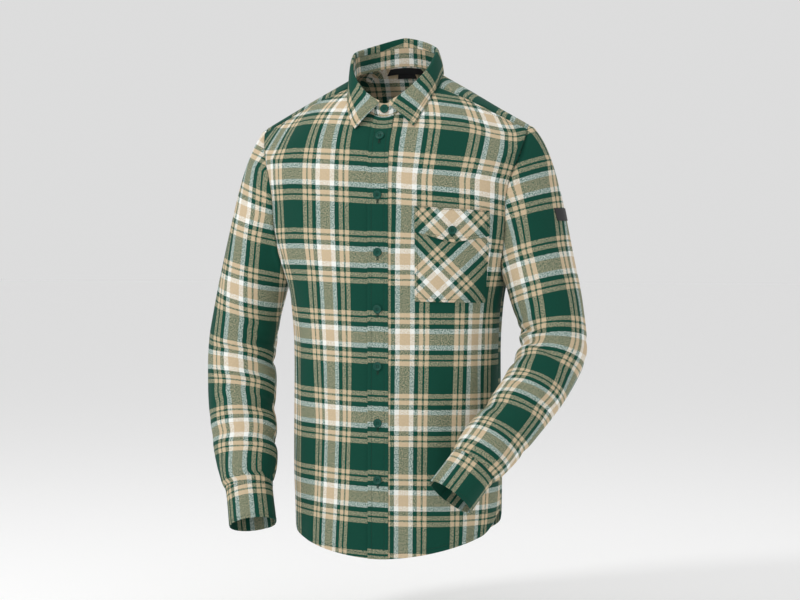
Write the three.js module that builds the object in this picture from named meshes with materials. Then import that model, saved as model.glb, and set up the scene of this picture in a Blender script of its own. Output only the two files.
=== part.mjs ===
// A man's flannel shirt, buttoned up and filled out as when it is worn, with nobody in it.
// Lengths are in millimetres. +X is the wearer's left, -Y the front and +Z up.
// The origin is the middle of the neck, level with the tops of the shoulders.
import * as THREE from 'three';

// Driving dimensions
const wall = 1.4;
const seamGap = 0.3;
const layer = wall + seamGap;
const bandHalf = 17;
const foldFront = bandHalf / 2;
const bandFade = 38;
const pocketInner = 60;
const pocketWidth = 120;
const pocketBottom = 416;
const pocketTop = 560;
const flapTop = 568;
const flapCorner = 528;
const flapPoint = 514;
const cuffLength = 62;
const cuffOverlap = 24;
const cuffTurn = 228;
const cuffLap = 20;
const cuffColumns = 26;
const standEnd = 13;
const buttonWidth = 14;
const buttonHeight = 2.6;
const armpit = 447;
const shoulder = 640;
const neckline = 760;
const buttonGap = 0.4;
const frontButtons = [711, 585, 493.7, 402.4, 311, 219.8, 128.5];
const flapButton = 534;
const labelWall = 1;
const labelGap = 0.5;
const sleeveLabelTop = -205;
const sleeveLabelHeight = 20;
const labelColumns = [10, 13];
const neckLabel = { halfTurn: 21, low: 743.5, high: 758 };
const sizeLabel = { halfTurn: 9, low: 732.5, high: 743 };
const placketTurn = -132;
const placketRings = 5;
const creaseStart = 20;
const creaseFull = 70;

// Colours of the cloth, the buttons and the labels
const clothColour = 0x3c6b55;
const buttonColour = 0x1f7a60;
const labelColour = 0x17181a;

// Gives each row of numbers the names of its columns.
function table(columns, ...rows) {
  return rows.map((row) => Object.fromEntries(columns.map((name, i) => [name, row[i]])));
}

// Rings round the body, from the hem to the neckline. Station is the height on the cloth above the
// hem at the centre front. Half is half the width; front and back are depths from the centre line,
// which lies at y = centre. The z columns are heights at 0, 60, 90, 120 and 180 degrees from the front.
const bodyRings = table(
  ['station', 'half', 'front', 'back', 'centre', 'z0', 'z60', 'z90', 'z120', 'z180'],
  [0, 171, 131, 112, 14, -768, -735, -700, -728, -780],
  [60, 172, 129, 111, 13, -709, -694, -675, -692, -718],
  [129, 173, 125, 112, 9, -640, -638, -634, -638, -642],
  [330, 172, 116, 112, 0, -439, -440, -440, -440, -440],
  [400, 176, 115, 112, -2, -369, -372, -370, -370, -370],
  [armpit, 184, 114, 112, -3, -322, -327, -322, -322, -320],
  [520, 208, 113, 110, -4, -249, -258, -250, -248, -242],
  [585, 217, 113, 108, -4, -184, -190, -165, -168, -168],
  [shoulder, 223, 111, 104, -4, -136, -120, -70, -94, -66],
  [700, 148, 100, 88, -6, -98, -54, -29, -26, -8],
  [neckline, 70, 76, 62, -3, -59, -14, 12, 21, 34],
);

// Soft folds of the body. Turn is in degrees from the centre front towards the wearer's left,
// deep is how far the cloth goes in, wide is in degrees and tall along the station.
const bodyFolds = table(
  ['turn', 'station', 'deep', 'wide', 'tall'],
  [64, 380, 4, 9, 90],
  [-66, 370, 4, 9, 95],
  [118, 230, 5, 9, 170],
  [-122, 250, 5, 10, 160],
  [152, 330, 5, 9, 190],
  [-150, 300, 5, 9, 200],
  [180, 560, 4, 18, 80],
);

// Centre line and sections of each arm, from below the armhole to the edge of the cuff.
// Half is half the width across the arm and deep half the depth from front to back.
const armColumns = ['x', 'y', 'z', 'half', 'deep'];
const arms = {
  left: table(
    armColumns,
    [247, 0, -335, 58, 64],
    [255, -3, -366, 56, 61],
    [262, -10, -404, 54, 58],
    [262, -25, -442, 54, 55],
    [246, -58, -488, 52, 52],
    [218, -98, -537, 48, 50],
    [188, -136, -580, 47, 49],
    [174, -152, -600, 44, 45],
    [166, -160, -611, 40, 40],
    [136, -187, -656, 40, 40],
  ),
  right: table(
    armColumns,
    [-250, 0, -335, 57, 64],
    [-261, 2, -380, 56, 61],
    [-268, 2, -430, 58, 58],
    [-266, -10, -490, 58, 55],
    [-260, -26, -540, 56, 53],
    [-248, -47, -592, 54, 50],
    [-240, -61, -628, 50, 47],
    [-236, -70, -650, 44, 44],
    [-233, -74, -660, 39, 39],
    [-218, -98, -721, 39, 39],
  ),
};

// Creases of the sleeves. Along is measured down the arm from its first section and turn round it,
// 0 outside, 90 in front, 180 inside and 270 behind. Slant tips the crease, in mm for each degree.
const creaseColumns = ['along', 'turn', 'deep', 'long', 'wide', 'slant'];
const sleeveCreases = {
  left: table(
    creaseColumns,
    [70, 140, 7, 13, 46, 0.1],
    [110, 128, 9, 12, 58, -0.15],
    [150, 140, 6, 14, 42, 0.1],
    [96, 330, -4, 26, 50, 0],
    [232, 60, 4, 12, 40, 0.3],
    [262, 120, 5, 11, 50, -0.2],
    [250, 240, 4, 12, 50, 0.2],
  ),
  right: table(
    creaseColumns,
    [92, 150, 6, 13, 50, 0.15],
    [128, 170, 5, 14, 55, -0.15],
    [176, 110, 5, 13, 50, 0.2],
    [222, 150, 6, 12, 55, -0.2],
    [260, 60, 4, 12, 45, 0.25],
    [272, 190, 6, 11, 50, 0.15],
    [240, 290, 4, 14, 50, -0.2],
  ),
};

const bodyRows = [0, 22, 55, 95, 150, 215, 280, 345, pocketBottom, armpit];
const armholeRows = [armpit, 451, 459, 472, 494, 522, 543, pocketTop, 588, 612, 630, shoulder];
const upperRows = [shoulder, 665, 690, 712, 732, 747, neckline];
const armholeTopTurns = [90, 98, 106, 115];
const bandColumns = [-bandHalf, -foldFront, 0, foldFront, bandHalf];
const frontColumns = [...bandColumns, bandFade, pocketInner, 90, 120, 150, 180];
const fullFront = 206;
const backColumns = 16;
const headSteps = [0, 0.07, 0.17, 0.29, 0.43, 0.59, 0.655, 0.82, 1];
const sleeveRings = 14;
const cuffRings = 3;

const vector = (x, y, z) => new THREE.Vector3(x, y, z);
const radians = (degrees) => THREE.MathUtils.degToRad(degrees);
const mix = (a, b, t) => a + (b - a) * t;
const smoothStep = (a, b, t) => THREE.MathUtils.smoothstep(t, a, b);

// Runs a smooth curve through one column of a table. Where crease is above 0, the curve may bend
// sharply at the row named corner, up to a full corner at 1.
function alongTable(rows, column, station, corner = null, crease = 0) {
  const last = rows.length - 1;
  let i = 0;
  while (i < last - 1 && station > rows[i + 1].station) i += 1;
  const chord = (j) => (rows[j + 1][column] - rows[j][column]) / (rows[j + 1].station - rows[j].station);
  const slope = (j) => {
    if (j === 0 || j === last) return chord(i);
    const near = rows[j - 1];
    const far = rows[j + 1];
    const through = (far[column] - near[column]) / (far.station - near.station);
    return rows[j].station === corner ? mix(through, chord(i), crease) : through;
  };
  const span = rows[i + 1].station - rows[i].station;
  const t = THREE.MathUtils.clamp((station - rows[i].station) / span, 0, 1);
  const rise = t * t * (3 - 2 * t);
  const leave = t * (1 - t) * (1 - t) * slope(i) * span;
  const arrive = t * t * (1 - t) * slope(i + 1) * span;
  return mix(rows[i][column], rows[i + 1][column], rise) + leave - arrive;
}

// A point of the body: a rounded-square ring, wider than deep, with its folds pressed in.
function bodyPoint(turn, station) {
  const wrapped = THREE.MathUtils.euclideanModulo(turn + 180, 360) - 180;
  const angle = Math.abs(wrapped);
  const side = wrapped < 0 ? -1 : 1;
  const crease = smoothStep(creaseStart, creaseFull, angle);
  const ring = (column) => alongTable(bodyRings, column, station, shoulder, crease);
  const sine = Math.sin(radians(angle));
  const cosine = Math.cos(radians(angle));
  const squareness = 2.4;
  const reach = (sine ** squareness + Math.abs(cosine) ** squareness) ** (-1 / squareness);
  const depth = cosine > 0 ? ring('front') : ring('back');
  const heights = Object.fromEntries([0, 60, 90, 120, 180].map((at) => [at, ring(`z${at}`)]));
  const knots = [-60, 0, 60, 90, 120, 180, 240].map((at) => {
    const mirrored = at > 180 ? 360 - at : Math.abs(at);
    return { station: at, z: heights[mirrored] };
  });
  const x = side * ring('half') * sine * reach;
  const y = ring('centre') - depth * cosine * reach;
  const outward = vector(x / ring('half') ** 2, (y - ring('centre')) / depth ** 2, 0).normalize();
  let sunk = 0;
  for (const fold of bodyFolds) {
    const aside = THREE.MathUtils.euclideanModulo(turn - fold.turn + 180, 360) - 180;
    sunk += fold.deep * Math.exp(-((aside / fold.wide) ** 2) - ((station - fold.station) / fold.tall) ** 2);
  }
  return vector(x, y, alongTable(knots, 'z', angle)).addScaledVector(outward, -sunk);
}

function bodyNormal(turn, station) {
  const low = Math.max(station - 1, 0);
  const high = Math.min(station + 1, neckline);
  const across = bodyPoint(turn + 0.5, station).sub(bodyPoint(turn - 0.5, station));
  const up = bodyPoint(turn, high).sub(bodyPoint(turn, low));
  return across.cross(up).normalize();
}

const onBody = (turn, station, lift = 0) => {
  const normal = bodyNormal(turn, station);
  return { point: bodyPoint(turn, station).addScaledVector(normal, lift), normal };
};

// Length along the cloth from the centre front, for each whole degree of a ring.
const ringLengths = new Map();
function lengthsAt(station) {
  if (!ringLengths.has(station)) {
    const lengths = [0];
    for (let turn = 1; turn <= 90; turn += 1) {
      const step = bodyPoint(turn, station).distanceTo(bodyPoint(turn - 1, station));
      lengths.push(lengths[turn - 1] + step);
    }
    ringLengths.set(station, lengths);
  }
  return ringLengths.get(station);
}

function turnAt(station, length) {
  const lengths = lengthsAt(station);
  const wanted = Math.abs(length);
  let turn = 1;
  while (turn < 90 && lengths[turn] < wanted) turn += 1;
  const part = (wanted - lengths[turn - 1]) / (lengths[turn] - lengths[turn - 1]);
  return Math.sign(length) * (turn - 1 + part);
}

function lengthAt(station, turn) {
  const lengths = lengthsAt(station);
  const whole = Math.min(Math.floor(turn), 89);
  return mix(lengths[whole], lengths[whole + 1], turn - whole);
}

// The armhole is a scoop: a quarter ellipse from the side seam, then a line up to the shoulder.
const scoopHeight = 75;
const scoop = (station) => {
  const up = THREE.MathUtils.clamp((station - armpit) / scoopHeight, 0, 1);
  return Math.sqrt(1 - (1 - up) ** 2);
};
const scoopTurn = 26;
const backScoopTurn = 28;
const backLeanTurn = 3;
const leanTurn = 4;
const leanStart = armpit + 50;
const leanFull = 588;
const tipTurn = 24;
const yokeNeckTurn = 72;
const armholeFront = (station) => {
  const lean = leanTurn * smoothStep(leanStart, leanFull, station);
  const tip = THREE.MathUtils.clamp((station - pocketTop) / (shoulder - pocketTop), 0, 1) ** 5;
  return 90 - scoopTurn * scoop(station) - lean + tipTurn * tip;
};
const armholeBack = (station) => {
  return 90 + backScoopTurn * scoop(station) - backLeanTurn * smoothStep(pocketTop, shoulder, station);
};
const yokeSeam = (station) => {
  return mix(armholeFront(shoulder), yokeNeckTurn, (station - shoulder) / (neckline - shoulder));
};

function frontEdge(station) {
  if (station <= armpit) return 90;
  return station <= shoulder ? armholeFront(station) : yokeSeam(station);
}

// Columns of a front lie at fixed lengths along the cloth and close up towards the neck.
function frontTurns(station) {
  const edge = lengthAt(station, frontEdge(station));
  const close = Math.min(1, (edge - bandHalf) / (fullFront - bandHalf));
  const lengths = frontColumns.map((length) => {
    return length <= bandHalf ? length : bandHalf + (length - bandHalf) * close;
  });
  lengths.push((lengths[lengths.length - 1] + edge) / 2, edge);
  return lengths.map((length) => turnAt(station, length));
}

// Closed solid of one piece of cloth. The rows are points of its outer face with their normals,
// and the inner face lies one thickness in. Trim draws the edges back: bottom, top, start and end.
function clothGeometry(rows, thickness = wall, closed = false, trim = [0, 0, 0, 0]) {
  const height = rows.length;
  const width = rows[0].length;
  const drawn = rows.map((row) => row.map(({ point }) => point.clone()));
  const draw = (r, c, toRow, toColumn, by) => {
    const along = rows[toRow][toColumn].point.clone().sub(rows[r][c].point).normalize();
    drawn[r][c].addScaledVector(along, by);
  };
  for (let c = 0; c < width; c += 1) {
    if (trim[0]) draw(0, c, 1, c, trim[0]);
    if (trim[1]) draw(height - 1, c, height - 2, c, trim[1]);
  }
  for (let r = 0; r < height; r += 1) {
    if (trim[2]) draw(r, 0, r, 1, trim[2]);
    if (trim[3]) draw(r, width - 1, r, width - 2, trim[3]);
  }
  const positions = [];
  for (const depth of [0, thickness]) {
    rows.forEach((row, r) => row.forEach(({ normal }, c) => {
      positions.push(...drawn[r][c].clone().addScaledVector(normal, -depth).toArray());
    }));
  }
  const inner = height * width;
  const at = (r, c) => r * width + (c % width);
  const first = rows[0][0];
  const across = rows[0][1].point.clone().sub(first.point);
  const up = rows[1][0].point.clone().sub(first.point);
  const outward = across.cross(up).dot(first.normal) > 0;
  const index = [];
  const face = (a, b, c) => index.push(...(outward ? [a, b, c] : [a, c, b]));
  const quad = (a, b, c, d) => {
    face(a, b, c);
    face(a, c, d);
  };
  const columns = closed ? width : width - 1;
  for (let r = 0; r < height - 1; r += 1) {
    for (let c = 0; c < columns; c += 1) {
      const [a, b] = [at(r, c), at(r, c + 1)];
      const [d, e] = [at(r + 1, c + 1), at(r + 1, c)];
      quad(a, b, d, e);
      quad(d + inner, b + inner, a + inner, e + inner);
    }
  }
  for (let c = 0; c < columns; c += 1) {
    const bottom = [at(0, c), at(0, c + 1)];
    const top = [at(height - 1, c), at(height - 1, c + 1)];
    quad(bottom[1], bottom[0], bottom[0] + inner, bottom[1] + inner);
    quad(top[0], top[1], top[1] + inner, top[0] + inner);
  }
  for (let r = 0; r < height - 1 && !closed; r += 1) {
    const start = [at(r, 0), at(r + 1, 0)];
    const end = [at(r, width - 1), at(r + 1, width - 1)];
    quad(start[0], start[1], start[1] + inner, start[0] + inner);
    quad(end[1], end[0], end[0] + inner, end[1] + inner);
  }
  const geometry = new THREE.BufferGeometry();
  geometry.setAttribute('position', new THREE.Float32BufferAttribute(positions, 3));
  geometry.setIndex(index);
  geometry.computeVertexNormals();
  return geometry;
}

const shirt = new THREE.Group();
const cloth = new THREE.MeshStandardMaterial({ color: clothColour, roughness: 0.95, metalness: 0 });
const buttonPlastic = new THREE.MeshStandardMaterial({ color: buttonColour, roughness: 0.35 });
const labelCloth = new THREE.MeshStandardMaterial({ color: labelColour, roughness: 0.8, metalness: 0 });

function add(name, geometry, material = cloth) {
  const mesh = new THREE.Mesh(geometry, material);
  mesh.name = name;
  shirt.add(mesh);
  return mesh;
}

// Fronts. The left one passes over the right one at the centre, lifted by one layer.
const halfGap = seamGap / 2;
const frontStations = [...bodyRows, ...armholeRows.slice(1), ...upperRows.slice(1)];
const bandEnd = bandColumns.length - 1;
const overlapLift = (column) => (column <= bandEnd ? layer : 0);
const frontGrid = (side) => frontStations.map((station) => {
  return frontTurns(station).map((turn, column) => {
    return onBody(side * turn, station, side > 0 ? overlapLift(column) : 0);
  });
});
const leftFront = frontGrid(1);
add('left_front', clothGeometry(leftFront, wall, false, [0, halfGap, 0, halfGap]));
add('right_front', clothGeometry(frontGrid(-1), wall, false, [0, halfGap, 0, halfGap]));

// What lies on a piece is made from its points, moved out along their normals.
function laidOn(grid, rowRange, columnRange, lift) {
  return grid.slice(rowRange[0], rowRange[1] + 1).map((row) => {
    return row.slice(columnRange[0], columnRange[1] + 1).map(({ point, normal }) => {
      return { point: point.clone().addScaledVector(normal, lift), normal };
    });
  });
}

const topRow = frontStations.length - 1;
const band = laidOn(leftFront, [0, topRow], [0, bandEnd], layer);
add('front_band', clothGeometry(band, wall, false, [0, halfGap, 0, 0]));

const stationRow = (station) => frontStations.indexOf(station);
const pocketRows = [stationRow(pocketBottom), stationRow(pocketTop)];
const pocketSides = [pocketInner, pocketInner + pocketWidth];
const pocketColumns = pocketSides.map((length) => frontColumns.indexOf(length));
add('pocket', clothGeometry(laidOn(leftFront, pocketRows, pocketColumns, layer)));

// The flap hangs over the pocket and comes to a shallow point in the middle.
const flapSteps = 4;
const flapColumns = 9;
const flapLift = 2 * layer + seamGap;
const flap = [];
for (let r = 0; r < flapSteps; r += 1) {
  const row = [];
  for (let c = 0; c < flapColumns; c += 1) {
    const across = c / (flapColumns - 1);
    const bottom = mix(flapCorner, flapPoint, 1 - Math.abs(2 * across - 1));
    const station = mix(bottom, flapTop, r / (flapSteps - 1));
    row.push(onBody(turnAt(station, pocketInner + pocketWidth * across), station, flapLift));
  }
  flap.push(row);
}
add('pocket_flap', clothGeometry(flap));

// Back, from side seam to side seam, up to the yoke.
const backStations = [...bodyRows, ...armholeRows.slice(1)];
const backEdge = (station) => (station <= armpit ? 90 : armholeBack(station));
const backTurns = (station) => {
  const edge = backEdge(station);
  const step = (360 - 2 * edge) / backColumns;
  return Array.from({ length: backColumns + 1 }, (_, c) => edge + step * c);
};
const back = backStations.map((station) => backTurns(station).map((turn) => onBody(turn, station)));
add('back', clothGeometry(back, wall, false, [0, halfGap, halfGap, halfGap]));

// Yoke, from one front seam over both shoulders to the other.
const yokeTurns = (station) => {
  const front = yokeSeam(station);
  const backCorner = armholeTopTurns[armholeTopTurns.length - 1];
  const widen = (backCorner - front) / (backCorner - yokeSeam(shoulder));
  const sideTurns = [yokeSeam(shoulder), ...armholeTopTurns];
  const leftSide = sideTurns.map((turn) => backCorner - (backCorner - turn) * widen);
  const rightSide = leftSide.map((turn) => 360 - turn).reverse();
  return [...leftSide, ...backTurns(shoulder).slice(1, -1), ...rightSide];
};
const yoke = upperRows.map((station) => yokeTurns(station).map((turn) => onBody(turn, station)));
add('yoke', clothGeometry(yoke, wall, false, [halfGap, halfGap, halfGap, halfGap]));

// Sleeves. The head leaves the armhole and runs down to the first section of the arm.
function withStations(rows) {
  let station = 0;
  return rows.map((row, i) => {
    if (i > 0) {
      const before = rows[i - 1];
      station += Math.hypot(row.x - before.x, row.y - before.y, row.z - before.z);
    }
    return { ...row, station };
  });
}

function armSurface(side, rows, creases) {
  const sections = withStations(rows);
  const length = sections[sections.length - 1].station;
  const centre = (along) => vector(...['x', 'y', 'z'].map((axis) => alongTable(sections, axis, along)));
  const frame = (along) => {
    const start = Math.max(along - 4, 0);
    const down = centre(Math.min(start + 8, length)).sub(centre(start)).normalize();
    const out = vector(side, 0, 0);
    out.addScaledVector(down, -out.dot(down)).normalize();
    const forward = down.clone().cross(out).multiplyScalar(side);
    return { down, out, forward };
  };
  const point = (turn, along, lift = 0) => {
    const { out, forward } = frame(along);
    let sunk = 0;
    for (const crease of creases) {
      const aside = THREE.MathUtils.euclideanModulo(turn - crease.turn + 180, 360) - 180;
      const away = (along - crease.along - crease.slant * aside) / crease.long;
      sunk += crease.deep * Math.exp(-((aside / crease.wide) ** 2) - away ** 2);
    }
    const half = alongTable(sections, 'half', along) - sunk + lift;
    const deep = alongTable(sections, 'deep', along) - sunk + lift;
    return centre(along)
      .addScaledVector(out, half * Math.cos(radians(turn)))
      .addScaledVector(forward, deep * Math.sin(radians(turn)));
  };
  return { length, frame, point };
}

// Points of the armhole: up its front, over the shoulder and down its back.
function armhole(side) {
  const rising = armholeRows.map((station) => [armholeFront(station), station]);
  const over = armholeTopTurns.map((turn) => [turn, shoulder]);
  const falling = armholeRows.slice(1, -1).reverse().map((station) => [armholeBack(station), station]);
  return [...rising, ...over, ...falling].map(([turn, station]) => bodyPoint(side * turn, station));
}

// Angle round the arm of each armhole point, shared out by the length of the seam.
function armholeAngles(points) {
  const ridge = armholeRows.length;
  const lengths = [0];
  for (let i = 1; i <= points.length; i += 1) {
    lengths.push(lengths[i - 1] + points[i % points.length].distanceTo(points[i - 1]));
  }
  const top = lengths[ridge];
  const total = lengths[points.length];
  return points.map((_, i) => {
    const along = lengths[i];
    return along <= top ? 180 * (1 - along / top) : -180 * ((along - top) / (total - top));
  });
}

// Normals of a grid that closes on itself, worked out from its neighbours and pointing outwards.
function withNormals(rings) {
  const middle = (ring) => ring.reduce((sum, p) => sum.add(p), vector(0, 0, 0)).divideScalar(ring.length);
  return rings.map((ring, r) => {
    const centre = middle(ring);
    return ring.map((point, c) => {
      const ahead = ring[(c + 1) % ring.length];
      const behind = ring[(c + ring.length - 1) % ring.length];
      const below = rings[Math.min(r + 1, rings.length - 1)][c];
      const above = rings[Math.max(r - 1, 0)][c];
      const normal = ahead.clone().sub(behind).cross(below.clone().sub(above)).normalize();
      if (normal.dot(point.clone().sub(centre)) < 0) normal.negate();
      return { point, normal };
    });
  });
}

const headStart = 0.62;
const headEnd = 0.9;
const headOut = 0.2;
const headTop = { left: 1.2, right: 0.85 };
const headSag = 0.15;

function sleeveHead(name, side, surface) {
  const start = armhole(side);
  const angles = armholeAngles(start);
  const { down } = surface.frame(0);
  const curves = start.map((from, i) => {
    const to = surface.point(angles[i], 0);
    const chord = to.clone().sub(from);
    const topness = ((1 + Math.cos(radians(angles[i]))) / 2) ** 2;
    const leave = chord.clone().normalize();
    leave.add(vector(side * (headOut + headTop[name] * topness), 0, -headSag * topness)).normalize();
    const size = chord.length();
    return { from, to, leave: leave.multiplyScalar(size * headStart), arrive: size * headEnd };
  });
  const headPoint = (i, t) => {
    const { from, to, leave, arrive } = curves[i];
    return from.clone().lerp(to, t * t * (3 - 2 * t))
      .addScaledVector(leave, t * (1 - t) * (1 - t))
      .addScaledVector(down, -arrive * t * t * (1 - t));
  };
  const rings = headSteps.slice(0, -1).map((t) => curves.map((_, i) => headPoint(i, t)));
  return { rings, angles, headPoint };
}

// Buttons: turned discs with a raised rim, seated on the cloth.
const buttonRadius = buttonWidth / 2;
const buttonProfile = [
  [0, 0],
  [buttonRadius - 0.8, 0],
  [buttonRadius, 0.7],
  [buttonRadius, buttonHeight - 0.7],
  [buttonRadius - 0.7, buttonHeight],
  [buttonRadius - 1.8, buttonHeight],
  [buttonRadius - 2.6, buttonHeight - 0.9],
  [0, buttonHeight - 0.9],
].map(([radius, height]) => new THREE.Vector2(radius, height));

function addButton(name, seat, normal) {
  const mesh = add(name, new THREE.LatheGeometry(buttonProfile, 12), buttonPlastic);
  mesh.position.copy(seat).addScaledVector(normal, buttonGap);
  mesh.quaternion.setFromUnitVectors(vector(0, 1, 0), normal);
}

const headPoints = {};
for (const [name, side] of [['left', 1], ['right', -1]]) {
  const surface = armSurface(side, arms[name], sleeveCreases[name]);
  const sleeveLength = surface.length - cuffLength - seamGap;
  const { rings, angles, headPoint } = sleeveHead(name, side, surface);
  for (let r = 0; r <= sleeveRings; r += 1) {
    const along = (sleeveLength * r) / sleeveRings;
    rings.push(angles.map((turn) => surface.point(turn, along)));
  }
  const grid = withNormals(rings);
  headPoints[name] = headPoint;
  // A sleeve is one piece of cloth. Its solids are two, the head and the tube, parted on one ring.
  const headRings = headSteps.length - 1;
  const headGrid = grid.slice(0, headRings + 1);
  add(`${name}_sleeve_head`, clothGeometry(headGrid, wall, true, [2 * halfGap, 0, 0, 0]));
  add(`${name}_sleeve`, clothGeometry(grid.slice(headRings), wall, true, [seamGap, 0, 0, 0]));

  const cuffStart = surface.length - cuffLength;
  const turns = Array.from({ length: cuffColumns + 1 }, (_, c) => {
    return cuffTurn + ((360 + cuffOverlap) * c) / cuffColumns;
  });
  const cuff = [];
  for (let r = 0; r < cuffRings; r += 1) {
    const along = mix(cuffStart, surface.length, r / (cuffRings - 1));
    cuff.push(turns.map((turn) => {
      const past = smoothStep(cuffTurn + 360 - cuffLap, cuffTurn + 360, turn);
      const point = surface.point(turn, along, layer * past);
      const { out, forward } = surface.frame(along);
      const normal = out.clone().multiplyScalar(Math.cos(radians(turn)));
      normal.addScaledVector(forward, Math.sin(radians(turn)));
      return { point, normal };
    }));
  }
  add(`${name}_cuff`, clothGeometry(cuff));

  // The slit above the cuff is bound by a placket, on the side away from the view.
  const slit = angles.findIndex((angle, i) => i > armholeRows.length && angle < placketTurn);
  const ends = grid.length - 1;
  const placket = laidOn(grid, [ends - placketRings, ends], [slit - 1, slit + 1], layer);
  add(`${name}_sleeve_placket`, clothGeometry(placket, wall, false, [0, layer, 0, 0]));

  const buttonTurn = cuffTurn + cuffOverlap / 2;
  const buttonAlong = cuffStart + cuffLength / 2;
  const seat = surface.point(buttonTurn, buttonAlong, layer);
  const raised = surface.point(buttonTurn, buttonAlong, layer + 1);
  addButton(`${name}_cuff_button`, seat, raised.sub(seat).normalize());
}

// Collar stand: a band on the neckline whose left end passes over its right end. Lean is how far it
// tips in towards the neck, less on the wearer's right, and roll how much higher the fold stands.
const standShape = table(
  ['station', 'height', 'lean', 'rightLean', 'roll'],
  [0, 23, 1, 1, 0.5],
  [60, 27, 4, 1, 4],
  [110, 29, 5, -3, 7],
  [180, 30, 4, 4, 14],
);
const standRise = 0.8;

function standPoint(turn, up, lift) {
  const wrapped = THREE.MathUtils.euclideanModulo(turn + 180, 360) - 180;
  const angle = Math.abs(wrapped);
  const base = bodyPoint(turn, neckline);
  const ahead = bodyPoint(turn + 1, neckline).sub(bodyPoint(turn - 1, neckline)).setZ(0);
  const outward = vector(ahead.y, -ahead.x, 0).normalize();
  const height = alongTable(standShape, 'height', angle);
  const lean = alongTable(standShape, wrapped < 0 ? 'rightLean' : 'lean', angle);
  const roll = alongTable(standShape, 'roll', angle);
  const point = base.addScaledVector(outward, lift - lean * up);
  point.z += seamGap + standRise * lift * (1 - up) + height * up;
  return { point, normal: outward, roll };
}

const standEndTurn = turnAt(neckline, standEnd);
const standLift = (turn) => layer * (1 - smoothStep(standEndTurn + 3, 34, turn));
const standEnds = [[0, 0.35, 0.7], [2, 0.18, 0.92], [5, 0.1, 1]];
const leftNeck = frontTurns(neckline).slice(2);
const rightNeck = leftNeck.slice(0, -1).map((turn) => 360 - turn).reverse();
const neckTurns = [...leftNeck, ...yokeTurns(neckline).slice(1), ...rightNeck];
const standColumns = [
  ...standEnds.map(([inset, low, high]) => [-standEndTurn + inset, low, high]),
  ...neckTurns.map((turn) => [turn, 0, 1]),
  ...standEnds.map(([inset, low, high]) => [360 + standEndTurn - inset, low, high]).reverse(),
];
const stand = [0, 0.5, 1].map((up) => standColumns.map(([turn, low, high]) => {
  return standPoint(turn, mix(low, high, up), standLift(turn));
}));
add('collar_stand', clothGeometry(stand));

// Collar fall: it rises from the stand, turns over and comes down outside it on to the shoulders.
// Its lower edge lies on the body, and its front ends are the collar points.
const fallEdge = table(
  ['station', 'turn', 'on', 'rightTurn', 'rightOn'],
  [0, 24, 718, 20, 718],
  [0.12, 37, 737, 35, 737],
  [0.3, 60, 751, 60, 754],
  [0.5, 92, 755, 92, 757],
  [1, 180, 751, 180, 751],
);
const foldPath = [[-wall, 0], [-wall, 0.5], [0.4 - wall, 1], [1, 1], [3.2, 1], [4.4, 1]];
const foldRise = [0, 0, 1, 2.4, 1.2, -2];
const fallSteps = [0.25, 0.5, 0.75, 1];
const fallBulge = 1.5;
const edgeLift = layer + 0.4;

const foldTurns = neckTurns.filter((turn) => turn > 0 && turn <= 180);
const fallParts = foldTurns.map((turn) => (turn - foldTurns[0]) / (180 - foldTurns[0]));

function fallColumn(part, side) {
  const turn = mix(foldTurns[0], 180, part);
  const lift = side > 0 ? standLift(turn) : 0;
  const top = standPoint(side * turn, 1, lift);
  const path = foldPath.map(([out, rollPart], i) => {
    const point = top.point.clone().addScaledVector(top.normal, out);
    point.z += seamGap + top.roll * rollPart + foldRise[i];
    return point;
  });
  const [edgeTurn, edgeOn] = side > 0 ? ['turn', 'on'] : ['rightTurn', 'rightOn'];
  const edge = onBody(
    side * alongTable(fallEdge, edgeTurn, part),
    alongTable(fallEdge, edgeOn, part),
    edgeLift,
  );
  const shoulderOfFold = path[path.length - 1];
  for (const step of fallSteps) {
    const point = shoulderOfFold.clone().lerp(edge.point, step);
    point.addScaledVector(top.normal, fallBulge * Math.sin(Math.PI * step));
    path.push(point);
  }
  return path;
}

const fallColumns = [
  ...fallParts.map((part) => fallColumn(part, 1)),
  ...fallParts.slice(0, -1).reverse().map((part) => fallColumn(part, -1)),
];

// Normals of an open grid given as columns, to the left of the way from each point to the next row.
function sheetNormals(columns) {
  const last = columns.length - 1;
  const rows = columns[0].length;
  return Array.from({ length: rows }, (_, r) => columns.map((column, c) => {
    const across = columns[Math.min(c + 1, last)][r].clone().sub(columns[Math.max(c - 1, 0)][r]);
    const down = column[Math.min(r + 1, rows - 1)].clone().sub(column[Math.max(r - 1, 0)]);
    return { point: column[r], normal: down.cross(across).normalize() };
  }));
}
add('collar_fall', clothGeometry(sheetNormals(fallColumns)));

// Buttons of the front band, the collar and the pocket flap.
const collarButtonTurn = 0.5;
const collarButtonUp = 0.6;
for (const [i, station] of frontButtons.entries()) {
  const { point, normal } = onBody(0, station, 2 * layer);
  addButton(`front_button_${i + 1}`, point, normal);
}
const collarSeat = standPoint(collarButtonTurn, collarButtonUp, layer);
addButton('collar_button', collarSeat.point, collarSeat.normal);
const flapSeat = onBody(turnAt(flapButton, pocketInner + pocketWidth / 2), flapButton, flapLift);
addButton('pocket_button', flapSeat.point, flapSeat.normal);

// Labels: one on the inside of the yoke with a size tab below it, one round the left sleeve.
function insideLabel({ halfTurn, low, high }) {
  const turns = [-1, -0.5, 0, 0.5, 1].map((part) => 180 + halfTurn * part);
  return [low, (low + high) / 2, high].map((station) => turns.map((turn) => {
    return onBody(turn, station, -wall - labelGap);
  }));
}
add('neck_label', clothGeometry(insideLabel(neckLabel), labelWall), labelCloth);
add('size_label', clothGeometry(insideLabel(sizeLabel), labelWall), labelCloth);

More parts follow.
